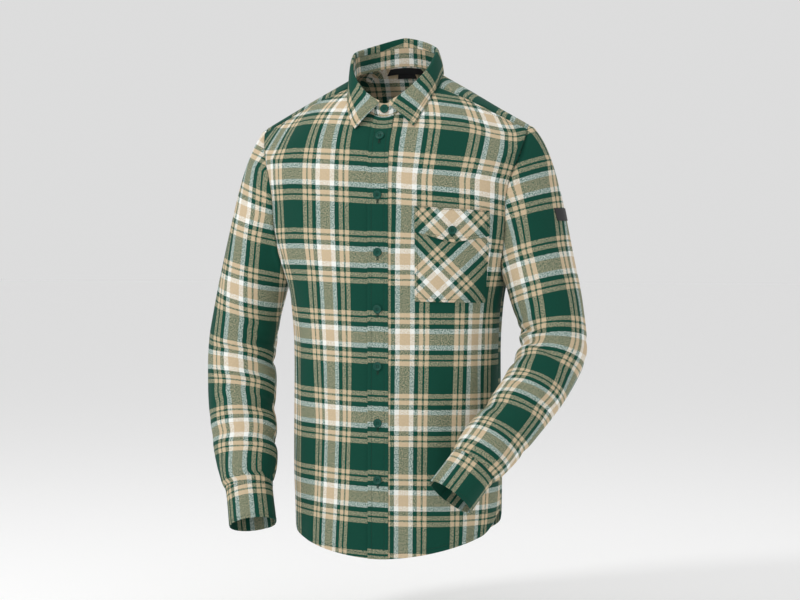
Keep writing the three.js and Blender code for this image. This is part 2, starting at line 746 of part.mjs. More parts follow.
// The point of one lengthwise line of the sleeve head at a given height.
function headAtHeight(i, height) {
  let [above, below] = [0, 1];
  for (let step = 0; step < 30; step += 1) {
    const middle = (above + below) / 2;
    if (headPoints.left(i, middle).z > height) above = middle;
    else below = middle;
  }
  return headPoints.left(i, above);
}
const labelHeights = [0, 0.5, 1].map((part) => sleeveLabelTop - sleeveLabelHeight * part);
const labelLines = [];
for (let i = labelColumns[0]; i <= labelColumns[1]; i += 1) {
  labelLines.push(labelHeights.map((height) => headAtHeight(i, height)));
}
const sleeveLabel = sheetNormals(labelLines);
const labelRows = [0, sleeveLabel.length - 1];
const labelEnds = [0, labelLines.length - 1];
const raisedLabel = laidOn(sleeveLabel, labelRows, labelEnds, labelWall + labelGap);
add('sleeve_label', clothGeometry(raisedLabel, labelWall), labelCloth);

export default shirt;
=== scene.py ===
import bpy
import numpy as np
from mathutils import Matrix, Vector


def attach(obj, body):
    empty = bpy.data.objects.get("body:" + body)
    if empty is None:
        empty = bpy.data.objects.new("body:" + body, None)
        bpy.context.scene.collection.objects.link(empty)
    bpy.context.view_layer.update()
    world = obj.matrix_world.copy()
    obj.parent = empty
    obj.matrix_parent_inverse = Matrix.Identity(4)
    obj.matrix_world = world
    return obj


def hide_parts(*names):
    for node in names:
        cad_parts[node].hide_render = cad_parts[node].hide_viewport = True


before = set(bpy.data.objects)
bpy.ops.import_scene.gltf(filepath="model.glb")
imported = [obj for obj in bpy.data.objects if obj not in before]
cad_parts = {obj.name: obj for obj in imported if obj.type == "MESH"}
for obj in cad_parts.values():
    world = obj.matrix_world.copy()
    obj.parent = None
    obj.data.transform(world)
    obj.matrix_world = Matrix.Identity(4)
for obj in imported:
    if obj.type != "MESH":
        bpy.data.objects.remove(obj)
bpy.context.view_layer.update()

print("pieces of the frame:", len(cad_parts))

# %% [markdown]
# # A plaid flannel shirt
# The shirt is a set of cut pieces of brushed cotton twill, sewn together and filled out as when it
# is worn. Cloth could be simulated, but a simulation doesn't land on the folds of one real shirt.
# So each piece is a surface worked out from sizes, as a grid of points with a normal at each, and
# the folds are pressed into it by formulas. All sizes are in millimetres until a mesh is made.
# +X is the wearer's left, -Y the front and +Z up, and the origin is the middle of the neck.

# %% Small helpers
def table(columns, *rows):
    """Gives each column of numbers its name."""
    return dict(zip(columns, np.array(rows, float).T))


def rows_of(numbers):
    """The rows of a table, one after the other, as name and value."""
    names = list(numbers)
    return [dict(zip(names, row)) for row in zip(*numbers.values())]


def mix(a, b, t):
    """The point a share t of the way from a to b."""
    return a + (b - a) * t


def smooth(a, b, t):
    """0 up to a, 1 from b, and the S curve 3p^2 - 2p^3 between them."""
    part = np.clip((np.asarray(t, float) - a) / (b - a), 0, 1)
    return part * part * (3 - 2 * part)


def bump(x, middle, wide):
    """A bell curve: e to the power of minus ((x - middle) / wide) squared."""
    return np.exp(-(((x - middle) / wide) ** 2))


def wrapped(turn):
    """The same direction as turn, from -180 to 180 degrees."""
    return (turn + 180) % 360 - 180


def unit(vectors):
    """Vectors of length 1 in the same directions."""
    return vectors / np.linalg.norm(vectors, axis=-1, keepdims=True)


def run_lengths(points, axis=0):
    """Length of cloth along one axis of a line or grid of points, from the first of them."""
    steps = np.linalg.norm(np.diff(points, axis=axis), axis=-1)
    return np.concatenate([0 * steps.take([0], axis), np.cumsum(steps, axis)], axis)


def curve(knots, values, at, corner=None, crease=0.0):
    """Cubic curve through values at the knots, read at the places in at. Its slope at a knot is that
    of the line between the two knots beside it. At the knot named corner the slope is mixed, by
    crease, with that of the stretch itself, so the curve may bend sharply there."""
    at = np.asarray(at, float)
    upright = (-1, *[1] * at.ndim)
    values = np.asarray(values, float)
    if values.ndim == 1:
        values = values.reshape(upright)
    values = np.broadcast_to(values, (len(knots), *at.shape))
    chord = np.diff(values, axis=0) / np.diff(knots).reshape(upright)
    across = (values[2:] - values[:-2]) / (knots[2:] - knots[:-2]).reshape(upright)
    through = np.concatenate([chord[:1], across, chord[-1:]])
    i = np.clip(np.searchsorted(knots, at) - 1, 0, len(knots) - 2)

    def pick(array, j):
        return np.take_along_axis(array, j[None], axis=0)[0]

    def slope(j):
        share = np.where(knots[j] == corner, crease, 0.0) if corner is not None else 0.0
        return mix(pick(through, j), pick(chord, i), share)

    span = knots[i + 1] - knots[i]
    t = np.clip((at - knots[i]) / span, 0, 1)
    rise = t * t * (3 - 2 * t)
    leave = t * (1 - t) ** 2 * slope(i) * span
    arrive = t * t * (1 - t) * slope(i + 1) * span
    return mix(pick(values, i), pick(values, i + 1), rise) + leave - arrive


# %% [markdown]
# ## The body
# A buttoned shirt on a person is a tube. Rings run round it, each a rounded square that is wider
# than deep, and their heights dip at the front and back. A point is named by its turn, in degrees
# from the centre front towards the wearer's left, and its station, the height on the cloth above
# the hem at the centre front. The folds are bell-shaped troughs pressed in along the normal.

# %% Sizes of the cut
wall = 1.4
seam_gap = 0.3
layer = wall + seam_gap
band_half = 17
band_fade = 38
pocket_inner = 60
pocket_width = 120
pocket_bottom = 416
pocket_top = 560
flap_top = 568
flap_corner = 528
flap_point = 514
armpit = 447
shoulder = 640
neckline = 760
sides = {"left": 1, "right": -1}
cuff_length = 62
cuff_overlap = 24
cuff_turn = 228
cuff_lap = 20

body_rings = table(
    ["station", "half", "front", "back", "centre", "z0", "z60", "z90", "z120", "z180"],
    [0, 171, 131, 112, 14, -768, -735, -700, -728, -780],
    [60, 172, 129, 111, 13, -709, -694, -675, -692, -718],
    [129, 173, 125, 112, 9, -640, -638, -634, -638, -642],
    [330, 172, 116, 112, 0, -439, -440, -440, -440, -440],
    [400, 176, 115, 112, -2, -369, -372, -370, -370, -370],
    [armpit, 184, 114, 112, -3, -322, -327, -322, -322, -320],
    [520, 208, 113, 110, -4, -249, -258, -250, -248, -242],
    [585, 217, 113, 108, -4, -184, -190, -165, -168, -168],
    [shoulder, 223, 111, 104, -4, -136, -120, -70, -94, -66],
    [700, 148, 100, 88, -6, -98, -54, -29, -26, -8],
    [neckline, 70, 76, 62, -3, -59, -14, 12, 21, 34],
)

# The first seven are the broad folds. The rest are narrow ones: pulls that fan out from the armholes,
# drags beside the front band, and soft waves above the hem, uneven in length, depth and spacing.
body_folds = table(
    ["turn", "station", "deep", "wide", "tall", "slant"],
    [64, 380, 4, 9, 90, 0],
    [-66, 370, 4, 9, 95, 0],
    [118, 230, 5, 9, 170, 0],
    [-122, 250, 5, 10, 160, 0],
    [152, 330, 5, 9, 190, 0],
    [-150, 300, 5, 9, 200, 0],
    [180, 560, 4, 18, 80, 0],
    [60, 505, 2.4, 3.2, 45, 0.10],
    [54, 560, 2.0, 3.0, 50, 0.06],
    [-60, 500, 2.6, 3.4, 50, -0.11],
    [-53, 570, 1.8, 3.0, 40, -0.07],
    [-74, 420, 2.2, 4.0, 55, -0.14],
    [74, 425, 2.2, 4.0, 50, 0.14],
    [34, 120, 1.6, 5.0, 110, 0.02],
    [-30, 160, 1.8, 5.0, 120, -0.02],
    [-48, 60, 1.8, 5.0, 90, 0.03],
    [52, 70, 1.6, 5.0, 80, -0.03],
    [-16, 330, 0.9, 3.0, 70, 0.0],
    [20, 300, 0.9, 3.5, 80, 0.0],
    [100, 500, 2.6, 4.0, 60, 0.10],
    [-103, 505, 2.6, 4.0, 55, -0.10],
    [132, 470, 2.2, 5.0, 90, 0.05],
    [-134, 455, 2.4, 5.0, 95, -0.05],
    [164, 150, 2.2, 5.0, 130, 0.0],
    [-168, 190, 2.4, 5.0, 140, 0.0],
    [106, 90, 2.0, 5.0, 100, 0.0],
    [-104, 100, 2.0, 5.0, 110, 0.0],
    [-38, 170, 2.8, 5.0, 140, 0.01],
    [-30, 190, -1.2, 4.0, 120, 0.01],
    [41, 130, 2.6, 5.0, 130, -0.01],
    [33, 150, -1.2, 4.0, 110, -0.01],
    [-57, 320, 3.0, 4.5, 110, 0.03],
    [60, 300, 3.0, 4.5, 110, -0.03],
    [-40, 500, 1.8, 4.0, 60, -0.08],
)


def body_point(turn, station):
    """A point of the body. Across the ring it is half the width times sine, and along it the depth
    times cosine, both times a reach that makes the ellipse squarer: one over the 2.4th root of
    sine to the 2.4 plus cosine to the 2.4. Its height is a curve through five heights of the ring.
    The folds then move it in, each by its depth times a bell round the ring and one up it."""
    turn, station = np.broadcast_arrays(np.asarray(turn, float), np.asarray(station, float))
    around = wrapped(turn)
    angle = np.abs(around)
    crease = smooth(20, 70, angle)
    ring = {
        name: curve(body_rings["station"], body_rings[name], station, shoulder, crease)
        for name in list(body_rings)[1:]
    }
    sine, cosine = np.sin(np.radians(angle)), np.cos(np.radians(angle))
    squareness = 2.4
    reach = (sine**squareness + np.abs(cosine) ** squareness) ** (-1 / squareness)
    depth = np.where(cosine > 0, ring["front"], ring["back"])
    x = np.where(around < 0, -1, 1) * ring["half"] * sine * reach
    y = ring["centre"] - depth * cosine * reach
    knots = np.array([-60.0, 0, 60, 90, 120, 180, 240])
    heights = np.stack([ring[name] for name in ("z60", "z0", "z60", "z90", "z120", "z180", "z120")])
    z = curve(knots, heights, angle)
    outward = unit(np.stack([x / ring["half"] ** 2, (y - ring["centre"]) / depth**2, 0 * x], -1))
    sunk = np.zeros(turn.shape)
    for fold in rows_of(body_folds):
        up = station - fold["station"]
        aside = wrapped(turn - fold["turn"] - fold["slant"] * up)
        sunk += fold["deep"] * bump(aside, 0, fold["wide"]) * bump(up, 0, fold["tall"])
    return np.stack([x, y, z], -1) - outward * sunk[..., None]


def body_normal(turn, station):
    """The direction at right angles to the body, from two short steps round it and up it."""
    low, high = np.maximum(station - 1, 0), np.minimum(station + 1, neckline)
    across = body_point(turn + 0.5, station) - body_point(turn - 0.5, station)
    up = body_point(turn, high) - body_point(turn, low)
    return unit(np.cross(across, up))


def on_body(turn, station, lift=0.0):
    """Points lifted off the body along its normals, and those normals."""
    turn, station = np.broadcast_arrays(np.asarray(turn, float), np.asarray(station, float))
    normals = body_normal(turn, station)
    return body_point(turn, station) + normals * np.asarray(lift)[..., None], normals


top = body_point(0.0, 760.0)
print("centre front at the neckline:", np.round(top, 1))

# %% [markdown]
# ## Lengths along the cloth
# A woven pattern follows the threads, so each point also gets two lengths measured along the cloth:
# u across the piece from its middle line, and v up the grain. They become the UV map, in
# millimetres, and the plaid is drawn from them alone.

# %% Arc lengths round the body
def ring_lengths(stations, middle):
    """For each ring, the length of cloth from the middle line to each whole degree, up to 90."""
    return run_lengths(body_point(middle + np.arange(91.0)[None], stations[:, None]), 1)


def length_at(lengths, turns):
    """Length of cloth at a turn from the middle line, ring by ring."""
    return np.array([np.interp(turn, np.arange(91), row) for turn, row in zip(turns, lengths)])


def turn_at(lengths, u):
    """Turn from the middle line at a length of cloth, ring by ring. It keeps the sign of u."""
    rows = [np.interp(np.abs(row_u), row, np.arange(91)) for row_u, row in zip(u, lengths)]
    return np.sign(u) * np.array(rows)


level_station = 330


def grain_height(stations, lengths, middle, u):
    """v at each point: the length up the grain, which keeps its distance u from the middle line,
    counted so that v is the station where the rings lie level."""
    spread = np.arange(0.0, 281.0, 5.0)
    columns = np.repeat(spread[None], len(stations), axis=0)
    heights = run_lengths(body_point(middle + turn_at(lengths, columns), stations[:, None]))
    start = np.array([np.interp(level_station, stations, column) for column in heights.T])
    heights = heights - start + level_station
    return np.array([np.interp(np.abs(row_u), spread, row) for row_u, row in zip(u, heights)])


def smooth_steps(start, end, count, ease=1.0):
    """Count steps from start to end, closer together near the start where ease is above 1."""
    return mix(start, end, np.linspace(0, 1, count + 1) ** ease)


body_stations = np.concatenate([
    smooth_steps(0, armpit, 140)[:-1],
    smooth_steps(armpit, shoulder, 66, 1.6),
])
upper_stations = smooth_steps(shoulder, neckline, 40)
front_stations = np.concatenate([body_stations, upper_stations[1:]])


# %% [markdown]
# ## Armholes
# An armhole is a scoop: a quarter ellipse from the side seam, then a line up to the shoulder. The
# same curve bounds the front, the back and the head of the sleeve, so it is written down once.

# %% The armhole curve
scoop_height = 75


def scoop(station):
    """Quarter ellipse: 0 at the armpit, 1 at the top of the scoop."""
    up = np.clip((station - armpit) / scoop_height, 0, 1)
    return np.sqrt(1 - (1 - up) ** 2)


def armhole_front(station):
    """Turn of the front armhole edge: 90 degrees at the side seam, less by the scoop."""
    lean = 4 * smooth(armpit + 50, 588, station)
    tip = np.clip((station - pocket_top) / (shoulder - pocket_top), 0, 1) ** 5
    return 90 - 26 * scoop(station) - lean + 24 * tip


def armhole_back(station):
    """Turn of the back armhole edge."""
    return 90 + 28 * scoop(station) - 3 * smooth(pocket_top, shoulder, station)


def yoke_seam(station):
    """Turn of the seam between front and yoke."""
    return mix(armhole_front(shoulder), 72, (station - shoulder) / (neckline - shoulder))


def front_edge(station):
    """Turn of the outer edge of a front: side seam, armhole, then yoke seam."""
    upper = np.where(station <= shoulder, armhole_front(station), yoke_seam(station))
    return np.where(station <= armpit, 90.0, upper)


# %% [markdown]
# ## Turning a grid into cloth
# Each piece is a closed wall: the outer grid, the same grid one thickness in, and a rim. The mesh
# is filled from whole arrays, and its faces are turned round where the grid runs the other way.

# %% Mesh making
grids = {}


def wall_mesh(name, outer, normals, uv, thickness=wall, closed=False):
    """Closed solid of a grid of points. The inner layer lies one thickness in along the normals.
    Where closed, the last column of uv belongs to the first column of points."""
    grids[name] = outer, normals
    rows, columns = outer.shape[:2]
    spans = columns if closed else columns - 1
    points = np.concatenate([outer.reshape(-1, 3), (outer - normals * thickness).reshape(-1, 3)])

    def faces_of(*corners):
        """Faces from rows of corners, each with its row, column and layer, for mesh and map."""
        places = [
            ((depth * rows + row) * columns + column % columns, row * uv.shape[1] + column)
            for row, column, depth in corners
        ]
        return np.stack([np.stack(place, -1) for place in places], 1)

    def rim(row, column, next_row, next_column):
        """Faces between the two layers along an edge."""
        here, there = (row, column), (next_row, next_column)
        return faces_of((*here, 0), (*there, 0), (*there, 1), (*here, 1))

    r, c = (grid.ravel() for grid in np.mgrid[0 : rows - 1, 0:spans])
    cell = [(r, c), (r, c + 1), (r + 1, c + 1), (r + 1, c)]
    along, up, far = np.arange(spans), np.arange(rows - 1), columns - 1
    faces = [faces_of(*((*place, 0) for place in cell)), faces_of(*((*place, 1) for place in cell[::-1]))]
    faces += [rim(0, along + 1, 0, along), rim(rows - 1, along, rows - 1, along + 1)]
    if not closed:
        faces += [rim(up, 0, up + 1, 0), rim(up + 1, far, up, far)]
    faces = np.concatenate(faces)
    middle = (rows // 2, columns // 2)
    across = outer[middle[0], middle[1]] - outer[middle[0], middle[1] - 1]
    upward = outer[middle[0], middle[1]] - outer[middle[0] - 1, middle[1]]
    if np.dot(np.cross(across, upward), normals[middle]) < 0:
        faces = faces[:, ::-1]
    mesh = bpy.data.meshes.new(name)
    mesh.from_pydata(points / 1000, [], faces[..., 0].tolist())
    layer_map = mesh.uv_layers.new(name="cloth")
    layer_map.data.foreach_set("uv", uv.reshape(-1, 2)[faces[..., 1]].ravel())
    mesh.shade_smooth()
    mesh.set_sharp_from_angle(angle=np.radians(55))
    return mesh


def show(name, mesh, material, slot, *nodes):
    """Puts a finished mesh in the scene in place of its CAD nodes."""
    piece = bpy.data.objects.new(name + "_piece", mesh)
    bpy.context.scene.collection.objects.link(piece)
    mesh.materials.append(material)
    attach(piece, "root")
    if nodes:
        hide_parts(*nodes)
    print(f"{name}: {len(mesh.polygons)} faces")
    return piece


# %% [markdown]
# ## Materials
# Flannel is cotton twill whose face is brushed, so short fibres stand up and catch the light: it
# has no gloss, a soft sheen at the edges and slightly blurred stripes. The plaid is woven, not
# printed. The same row of coloured stripes runs along the warp and the weft. Where two stripes of
# one colour cross, the cloth is solid. Elsewhere the twill shows both, as fine diagonal lines.

# %% Colours and the one node helper
def linear(colour):
    """A hex sRGB colour as linear red, green, blue and alpha."""
    parts = [int(colour[i : i + 2], 16) / 255 for i in (1, 3, 5)]
    return [p / 12.92 if p <= 0.04045 else ((p + 0.055) / 1.055) ** 2.4 for p in parts] + [1.0]


def node(tree, kind, inputs=None, **settings):
    """Adds a node, sets its properties, and links or sets its inputs: an input given as a socket is
    linked to it, and any other value is set on the input itself."""
    new = tree.nodes.new(kind)
    for name, value in settings.items():
        setattr(new, name, value)
    for name, value in (inputs or {}).items():
        if isinstance(value, bpy.types.NodeSocket):
            tree.links.new(value, new.inputs[name])
        else:
            new.inputs[name].default_value = value
    return new


def noise(tree, place, scale, detail=2.0, roughness=0.5):
    """Noise texture of a scale, with octaves of detail that fade by the roughness."""
    inputs = {"Vector": place, "Scale": scale, "Detail": detail, "Roughness": roughness}
    return node(tree, "ShaderNodeTexNoise", inputs)


def maths(tree, operation, *values):
    """Result of a math node on sockets and numbers, in the order of its inputs."""
    return node(tree, "ShaderNodeMath", dict(enumerate(values)), operation=operation).outputs[0]


def ranged(tree, value, low, high, start=0.0, end=1.0):
    """A value between start and end, moved to between low and high."""
    inputs = {"Value": value, "From Min": start, "From Max": end, "To Min": low, "To Max": high}
    return node(tree, "ShaderNodeMapRange", inputs).outputs[0]


def bumped(tree, height, strength, distance):
    """Normals tipped by a height, over a distance in metres."""
    inputs = {"Height": height, "Strength": strength, "Distance": distance}
    return node(tree, "ShaderNodeBump", inputs).outputs[0]


def clouded(tree, factor, colour, low, high):
    """Two shades of one colour, low and high times as bright, mixed by a factor."""
    low, high = ([part * share for part in linear(colour)[:3]] + [1.0] for share in (low, high))
    inputs = {"Factor": factor, 6: low, 7: high}
    return node(tree, "ShaderNodeMix", inputs, data_type="RGBA").outputs[2]


def new_material(name):
    """A material and its empty node tree."""
    material = bpy.data.materials.new(name)
    material.use_nodes = True
    material.node_tree.nodes.clear()
    return material, material.node_tree


def surface(tree, inputs):
    """Ends a node tree with its shader and output."""
    shader = node(tree, "ShaderNodeBsdfPrincipled", inputs)
    node(tree, "ShaderNodeOutputMaterial", {"Surface": shader.outputs[0]})


# %% The plaid
green = "#094537"
tan = "#CDB898"
white = "#F2F3EE"
stripes = [
    (white, 7.5), (tan, 18.0), (white, 7.5), (green, 7.7), (tan, 7.0), (green, 3.2), (tan, 6.8),
    (green, 43.5), (tan, 7.0), (green, 3.2), (tan, 6.8), (green, 7.7),
]
sett = sum(width for _, width in stripes)
twill_pitch = 2.3
yarn_shade = 1.7
fray_reach = 1.1
fleck_strength = 12.0
print("the plaid repeats every", round(sett, 1), "mm")


def stripe_ramp(tree, along):
    """Colour of one set of threads: a ramp of flat steps over one repeat of the stripes."""
    share = maths(tree, "FRACT", maths(tree, "DIVIDE", along, sett))
    ramp = node(tree, "ShaderNodeValToRGB", {0: share})
    steps = ramp.color_ramp
    steps.interpolation = "CONSTANT"
    start = 0.0
    for i, (colour, width) in enumerate(stripes):
        step = steps.elements[i] if i < 2 else steps.elements.new(start)
        step.position = start
        step.color = [part ** (1 / yarn_shade) for part in linear(colour)]
        start += width / sett
    return ramp.outputs["Color"]


def brushed_flannel(name):
    """Brushed cotton twill. The UV map gives lengths along the cloth in millimetres. A thread goes
    over and under in steps, so a diagonal wave picks warp or weft. Its real pitch of about 1 mm is
    too fine to show, so it is drawn 2.3 mm wide. Dark yarns shade the pale ones they cross, so the
    colours are mixed as their 1.7th roots. Noise frays the stripes and lifts the nap."""
    material, tree = new_material(name)
    place = node(tree, "ShaderNodeUVMap", uv_map="cloth").outputs["UV"]
    fray = noise(tree, place, 1.1, 2.0, 0.6).outputs["Color"]
    centred = node(tree, "ShaderNodeVectorMath", {0: fray, 1: (0.5, 0.5, 0.5)}, operation="SUBTRACT")
    scaled = {0: centred.outputs[0], "Scale": fray_reach}
    small = node(tree, "ShaderNodeVectorMath", scaled, operation="SCALE")
    frayed = node(tree, "ShaderNodeVectorMath", {0: place, 1: small.outputs[0]}, operation="ADD")
    across, along, _ = node(tree, "ShaderNodeSeparateXYZ", {0: frayed.outputs[0]}).outputs
    warp, weft = stripe_ramp(tree, across), stripe_ramp(tree, along)
    diagonal = maths(tree, "SUBTRACT", along, across)
    wave = maths(tree, "SINE", maths(tree, "MULTIPLY", diagonal, 2 * np.pi / twill_pitch))
    fleck = noise(tree, place, 0.5, 3.0, 0.7).outputs["Fac"]
    worn = maths(tree, "MULTIPLY_ADD", fleck, fleck_strength, wave)
    yarns = {"Factor": ranged(tree, worn, 0.12, 0.88, 4.3, 7.7), 6: warp, 7: weft}
    woven = node(tree, "ShaderNodeMix", yarns, data_type="RGBA").outputs[2]
    woven = node(tree, "ShaderNodeGamma", {"Color": woven, "Gamma": yarn_shade}).outputs[0]
    cloud = noise(tree, place, 0.35, 4.0, 0.75).outputs["Fac"]
    layers = {"Factor": 1.0, 6: woven, 7: ranged(tree, cloud, 0.9, 1.08, 0.3, 0.7)}
    colour = node(tree, "ShaderNodeMix", layers, data_type="RGBA", blend_type="MULTIPLY").outputs[2]
    nap = noise(tree, place, 1.6, 3.0, 0.7).outputs["Fac"]
    relief = maths(tree, "MULTIPLY_ADD", wave, 0.25, nap)
    surface(tree, {
        "Base Color": colour, "Normal": bumped(tree, relief, 0.35, 0.0006),
        "Roughness": ranged(tree, nap, 0.82, 1.0), "Specular IOR Level": 0.2,
        "Sheen Weight": 0.05, "Sheen Roughness": 0.45,
    })
    return material


flannel = brushed_flannel("brushed_cotton_flannel")


# %% Plastic, thread and label cloth
def moulded_plastic(name, colour):
    """Polyester resin, cast in rods, sliced and polished: a smooth gloss over an even colour, with
    a faint cloud from the pigment and tiny scratches that break up the highlight."""
    material, tree = new_material(name)
    place = node(tree, "ShaderNodeTexCoord").outputs["Object"]
    cloud, scratch = (noise(tree, place, *size).outputs["Fac"] for size in ((260.0, 3.0), (2400.0, 2.0)))
    surface(tree, {
        "Base Color": clouded(tree, cloud, colour, 1.0, 1.25), "IOR": 1.54,
        "Roughness": ranged(tree, scratch, 0.3, 0.42), "Specular IOR Level": 0.25,
    })
    return material


def spun_thread(name, colour):
    """Sewing thread, spun from cotton and polyester: matte, with a fine twist."""
    material, tree = new_material(name)
    place = node(tree, "ShaderNodeTexCoord").outputs["Object"]
    twist = noise(tree, place, 1800.0).outputs["Fac"]
    tint = clouded(tree, twist, colour, 0.7, 1.3)
    surface(tree, {"Base Color": tint, "Normal": bumped(tree, twist, 0.4, 0.0002), "Roughness": 0.8})
    return material


def woven_label(name, colour):
    """Label tape, woven in satin from fine polyester: dark, with a low gloss along its floats from the
    roughness, and a painted sheen that makes its colour lighter along them.
    """
    material, tree = new_material(name)
    place = node(tree, "ShaderNodeUVMap", uv_map="cloth").outputs["UV"]
    stretched = node(tree, "ShaderNodeMapping", {"Vector": place, "Scale": (0.6, 5.0, 1.0)})
    floats = noise(tree, stretched.outputs[0], 1.0, 3.0).outputs["Fac"]
    # Painted sheen: along the floats the base colour is up to 1.8 times brighter, which stands in for the
    # satin's gloss.
    tint = clouded(tree, floats, colour, 1.0, 1.8)
    surface(tree, {"Base Color": tint, "Normal": bumped(tree, floats, 0.3, 0.0003), "Roughness": 0.55})
    return material


button_resin = moulded_plastic("cast_polyester_resin", "#06463A")
thread = spun_thread("spun_sewing_thread", "#0A3628")
label_satin = woven_label("black_label_satin", "#131416")

# %% [markdown]
# ## Fronts
# A front is cut from one flat piece, so its columns keep their lengths along the cloth and end at
# the side seam, the armhole or the yoke. Near a seam the cloth sinks a little and puckers, because
# the stitches pull it in. The left front is lifted one layer where it passes over the right one.

# %% Fronts and the front band
seam_sink = 0.9
hem_turn = 8
drift_columns = ["v", "across", "along", "spread", "tilt"]
front_drift = {
    1: table(
        drift_columns,
        [95, -29, 47, 0.11, 0],
        [224, -29, 44, 0.09, 0],
        [354, -30, 40, 0.065, 0],
        [482, -29, 38, 0.03, 0],
        [560, -30, 33, 0, 0.07],
        [612, -30, 31, 0, 0.07],
        [700, -30, 30, -0.14, 0.07],
    ),
    -1: table(
        drift_columns,
        [22, -4, 46, 0.18, 0.06],
        [111, -8, 43.5, 0.2, 0.06],
        [223, -13, 42, 0.19, 0.05],
        [344, -17, 39, 0.11, 0.05],
        [417, -19, 37.5, 0.05, 0.04],
        [520, -19, 36, 0, 0.06],
        [617, -18, 33.5, 0, 0.07],
        [724, -18, 30.5, 0, 0.07],
    ),
}


def woven_map(u, v, drift):
    """The UV map where folds and bends have taken up some of the cloth, so that its threads have
    moved. Across is u times one plus the spread, plus the drift across. Along is v plus the drift
    along plus the tilt times u. Each comes from a table by v, a straight line between its rows."""
    rows = rows_of(drift)
    rows.sort(key=lambda row: row["v"])
    knots = [row["v"] for row in rows]
    at = {name: np.interp(v, knots, [row[name] for row in rows]) for name in drift_columns[1:]}
    across = u * (1 + at["spread"]) + at["across"]
    return np.stack([across, v + at["along"] + at["tilt"] * u], -1)


def hem_dent(height):
    """The hem is turned up and stitched: its line sinks in."""
    return -0.35 * bump(height, hem_turn, 1.8)


def seam_dent(distance, along):
    """How far the cloth sinks beside a seam, with short puckers along it."""
    pucker = 0.35 * np.sin(along / 2.9) * bump(distance, 6, 5)
    return -seam_sink * bump(distance, 0, 2.6) + pucker


def front_grid(side, count=76):
    """Points, normals, u and v of a front."""
    lengths = ring_lengths(front_stations, 0)
    edge = length_at(lengths, front_edge(front_stations))[:, None]
    band = np.linspace(-band_half, band_half, 15)
    open_part = np.linspace(0, 1, count + 1)[None, 1:]
    u = np.concatenate([np.repeat(band[None], len(edge), 0), mix(band_half, edge, open_part)], 1)
    turns = side * turn_at(lengths, u)
    v = grain_height(front_stations, lengths, 0, u)
    lift = seam_dent(edge - u, v) + hem_dent(v - v[:1])
    if side > 0:
        lift = lift + layer * (1 - smooth(band_half, band_fade, u))
    points, normals = on_body(turns, front_stations[:, None], lift)
    return points, normals, u, v


def plaid_map(u, v, shift=(0, 0)):
    """The UV map: lengths along the cloth, shifted to where the stripes fall on this piece."""
    return np.stack([u + shift[0], v + shift[1]], -1)


def cloth_piece(name, points, normals, uv, nodes=(), closed=False):
    mesh = wall_mesh(name, points, normals, uv, closed=closed)
    piece = show(name, mesh, flannel, "flannel", *(nodes or [name]))
    if closed:
        points = np.concatenate([points, points[:, :1]], 1)


fronts = {side: front_grid(side) for side in sides.values()}
for name, side in sides.items():
    points, normals, u, v = fronts[side]
    woven = woven_map(side * u, v, front_drift[side])
    cloth_piece(f"{name}_front", points, normals, woven)

# %% [markdown]
# ## Front band, pocket and flap
# These lie on the left front, so they are made from its points, moved out. The band is a folded
# strip, stitched 6.5 mm in from both edges. The pocket and its flap are cut on the bias, 45 degrees to
# the threads, so the plaid runs across them as diamonds. A pocket edge is turned under, so it lies
# close to the front, while the middle stands off a little where the pocket has been filled.

# %% What lies on the left front
stitch_inset = 6.5
band_u = np.repeat(np.linspace(-band_half, band_half, 21)[None], len(front_stations), 0)
band_v = fronts[1][3][:, :1] + 0 * band_u
edge_in = np.minimum(band_u + band_half, band_half - band_u)
stitched = bump(edge_in, stitch_inset, 1.6)
band_pucker = 0.30 * np.sin(band_v / 3.1 + band_u / 9) * bump(edge_in, 3.2, 4.0)
band_lift = 2 * layer - 0.35 * stitched + band_pucker - 0.5 * bump(edge_in, 0, 1.2)
band_turns = turn_at(ring_lengths(front_stations, 0), band_u)
points, normals = on_body(band_turns, front_stations[:, None], band_lift)
band_drift = table(
    drift_columns,
    [95, 80, 41, 0, 0.04],
    [224, 80, 38.5, 0, 0.04],
    [354, 80, 36.5, 0, 0.04],
    [482, 80, 35, 0, 0.03],
    [612, 80, 34, 0, 0.03],
)
woven = woven_map(band_u, band_v, band_drift)
cloth_piece("front_band", points, normals, woven)


def bias_map(u, v, shift, turn=45):
    """The UV map of a piece cut at an angle to the threads: u and v turned by that angle."""
    sine, cosine = np.sin(np.radians(turn)), np.cos(np.radians(turn))
    return plaid_map(u * cosine + v * sine, v * cosine - u * sine, shift)


def patch(name, u_share, v_share, bottom, top, lift, shift):
    """Shows a patch of cloth on the left front, over the pocket's width, with a straight or pointed
    bottom edge. The shares run from 0 to 1 across it and up it. The plaid is counted from the middle
    of its width and from its lowest point."""
    u = pocket_inner + pocket_width * u_share
    stations = mix(bottom, top, v_share)
    turns = turn_at(ring_lengths(stations.ravel(), 0), u.ravel()[:, None]).reshape(u.shape)
    points, normals = on_body(turns, stations, lift)
    bias = bias_map(u - pocket_inner - pocket_width / 2, stations - np.min(bottom), shift)
    cloth_piece(name, points, normals, bias)


share_u, share_v = np.meshgrid(np.linspace(0, 1, 61), np.linspace(0, 1, 73))
side_in = pocket_width * np.minimum(share_u, 1 - share_u)
low_in = (pocket_top - pocket_bottom) * share_v
rim_in = np.minimum(side_in, low_in)
full = np.sin(np.pi * share_u) ** 0.7 * np.sin(np.pi * np.clip(share_v, 0, 0.96)) ** 0.7
pocket_lift = (
    layer
    + 0.9 * full
    - 0.3 * bump(rim_in, 4.5, 1.5)
    + 0.25 * np.sin((share_u - share_v) * 40) * bump(rim_in, 0, 5)
    + 0.5 * bump(share_u - 0.75 * share_v, 0.35, 0.06) * full
)
plaid_pocket = (10.9, -22.8)
patch("pocket", share_u, share_v, pocket_bottom, pocket_top, pocket_lift, plaid_pocket)

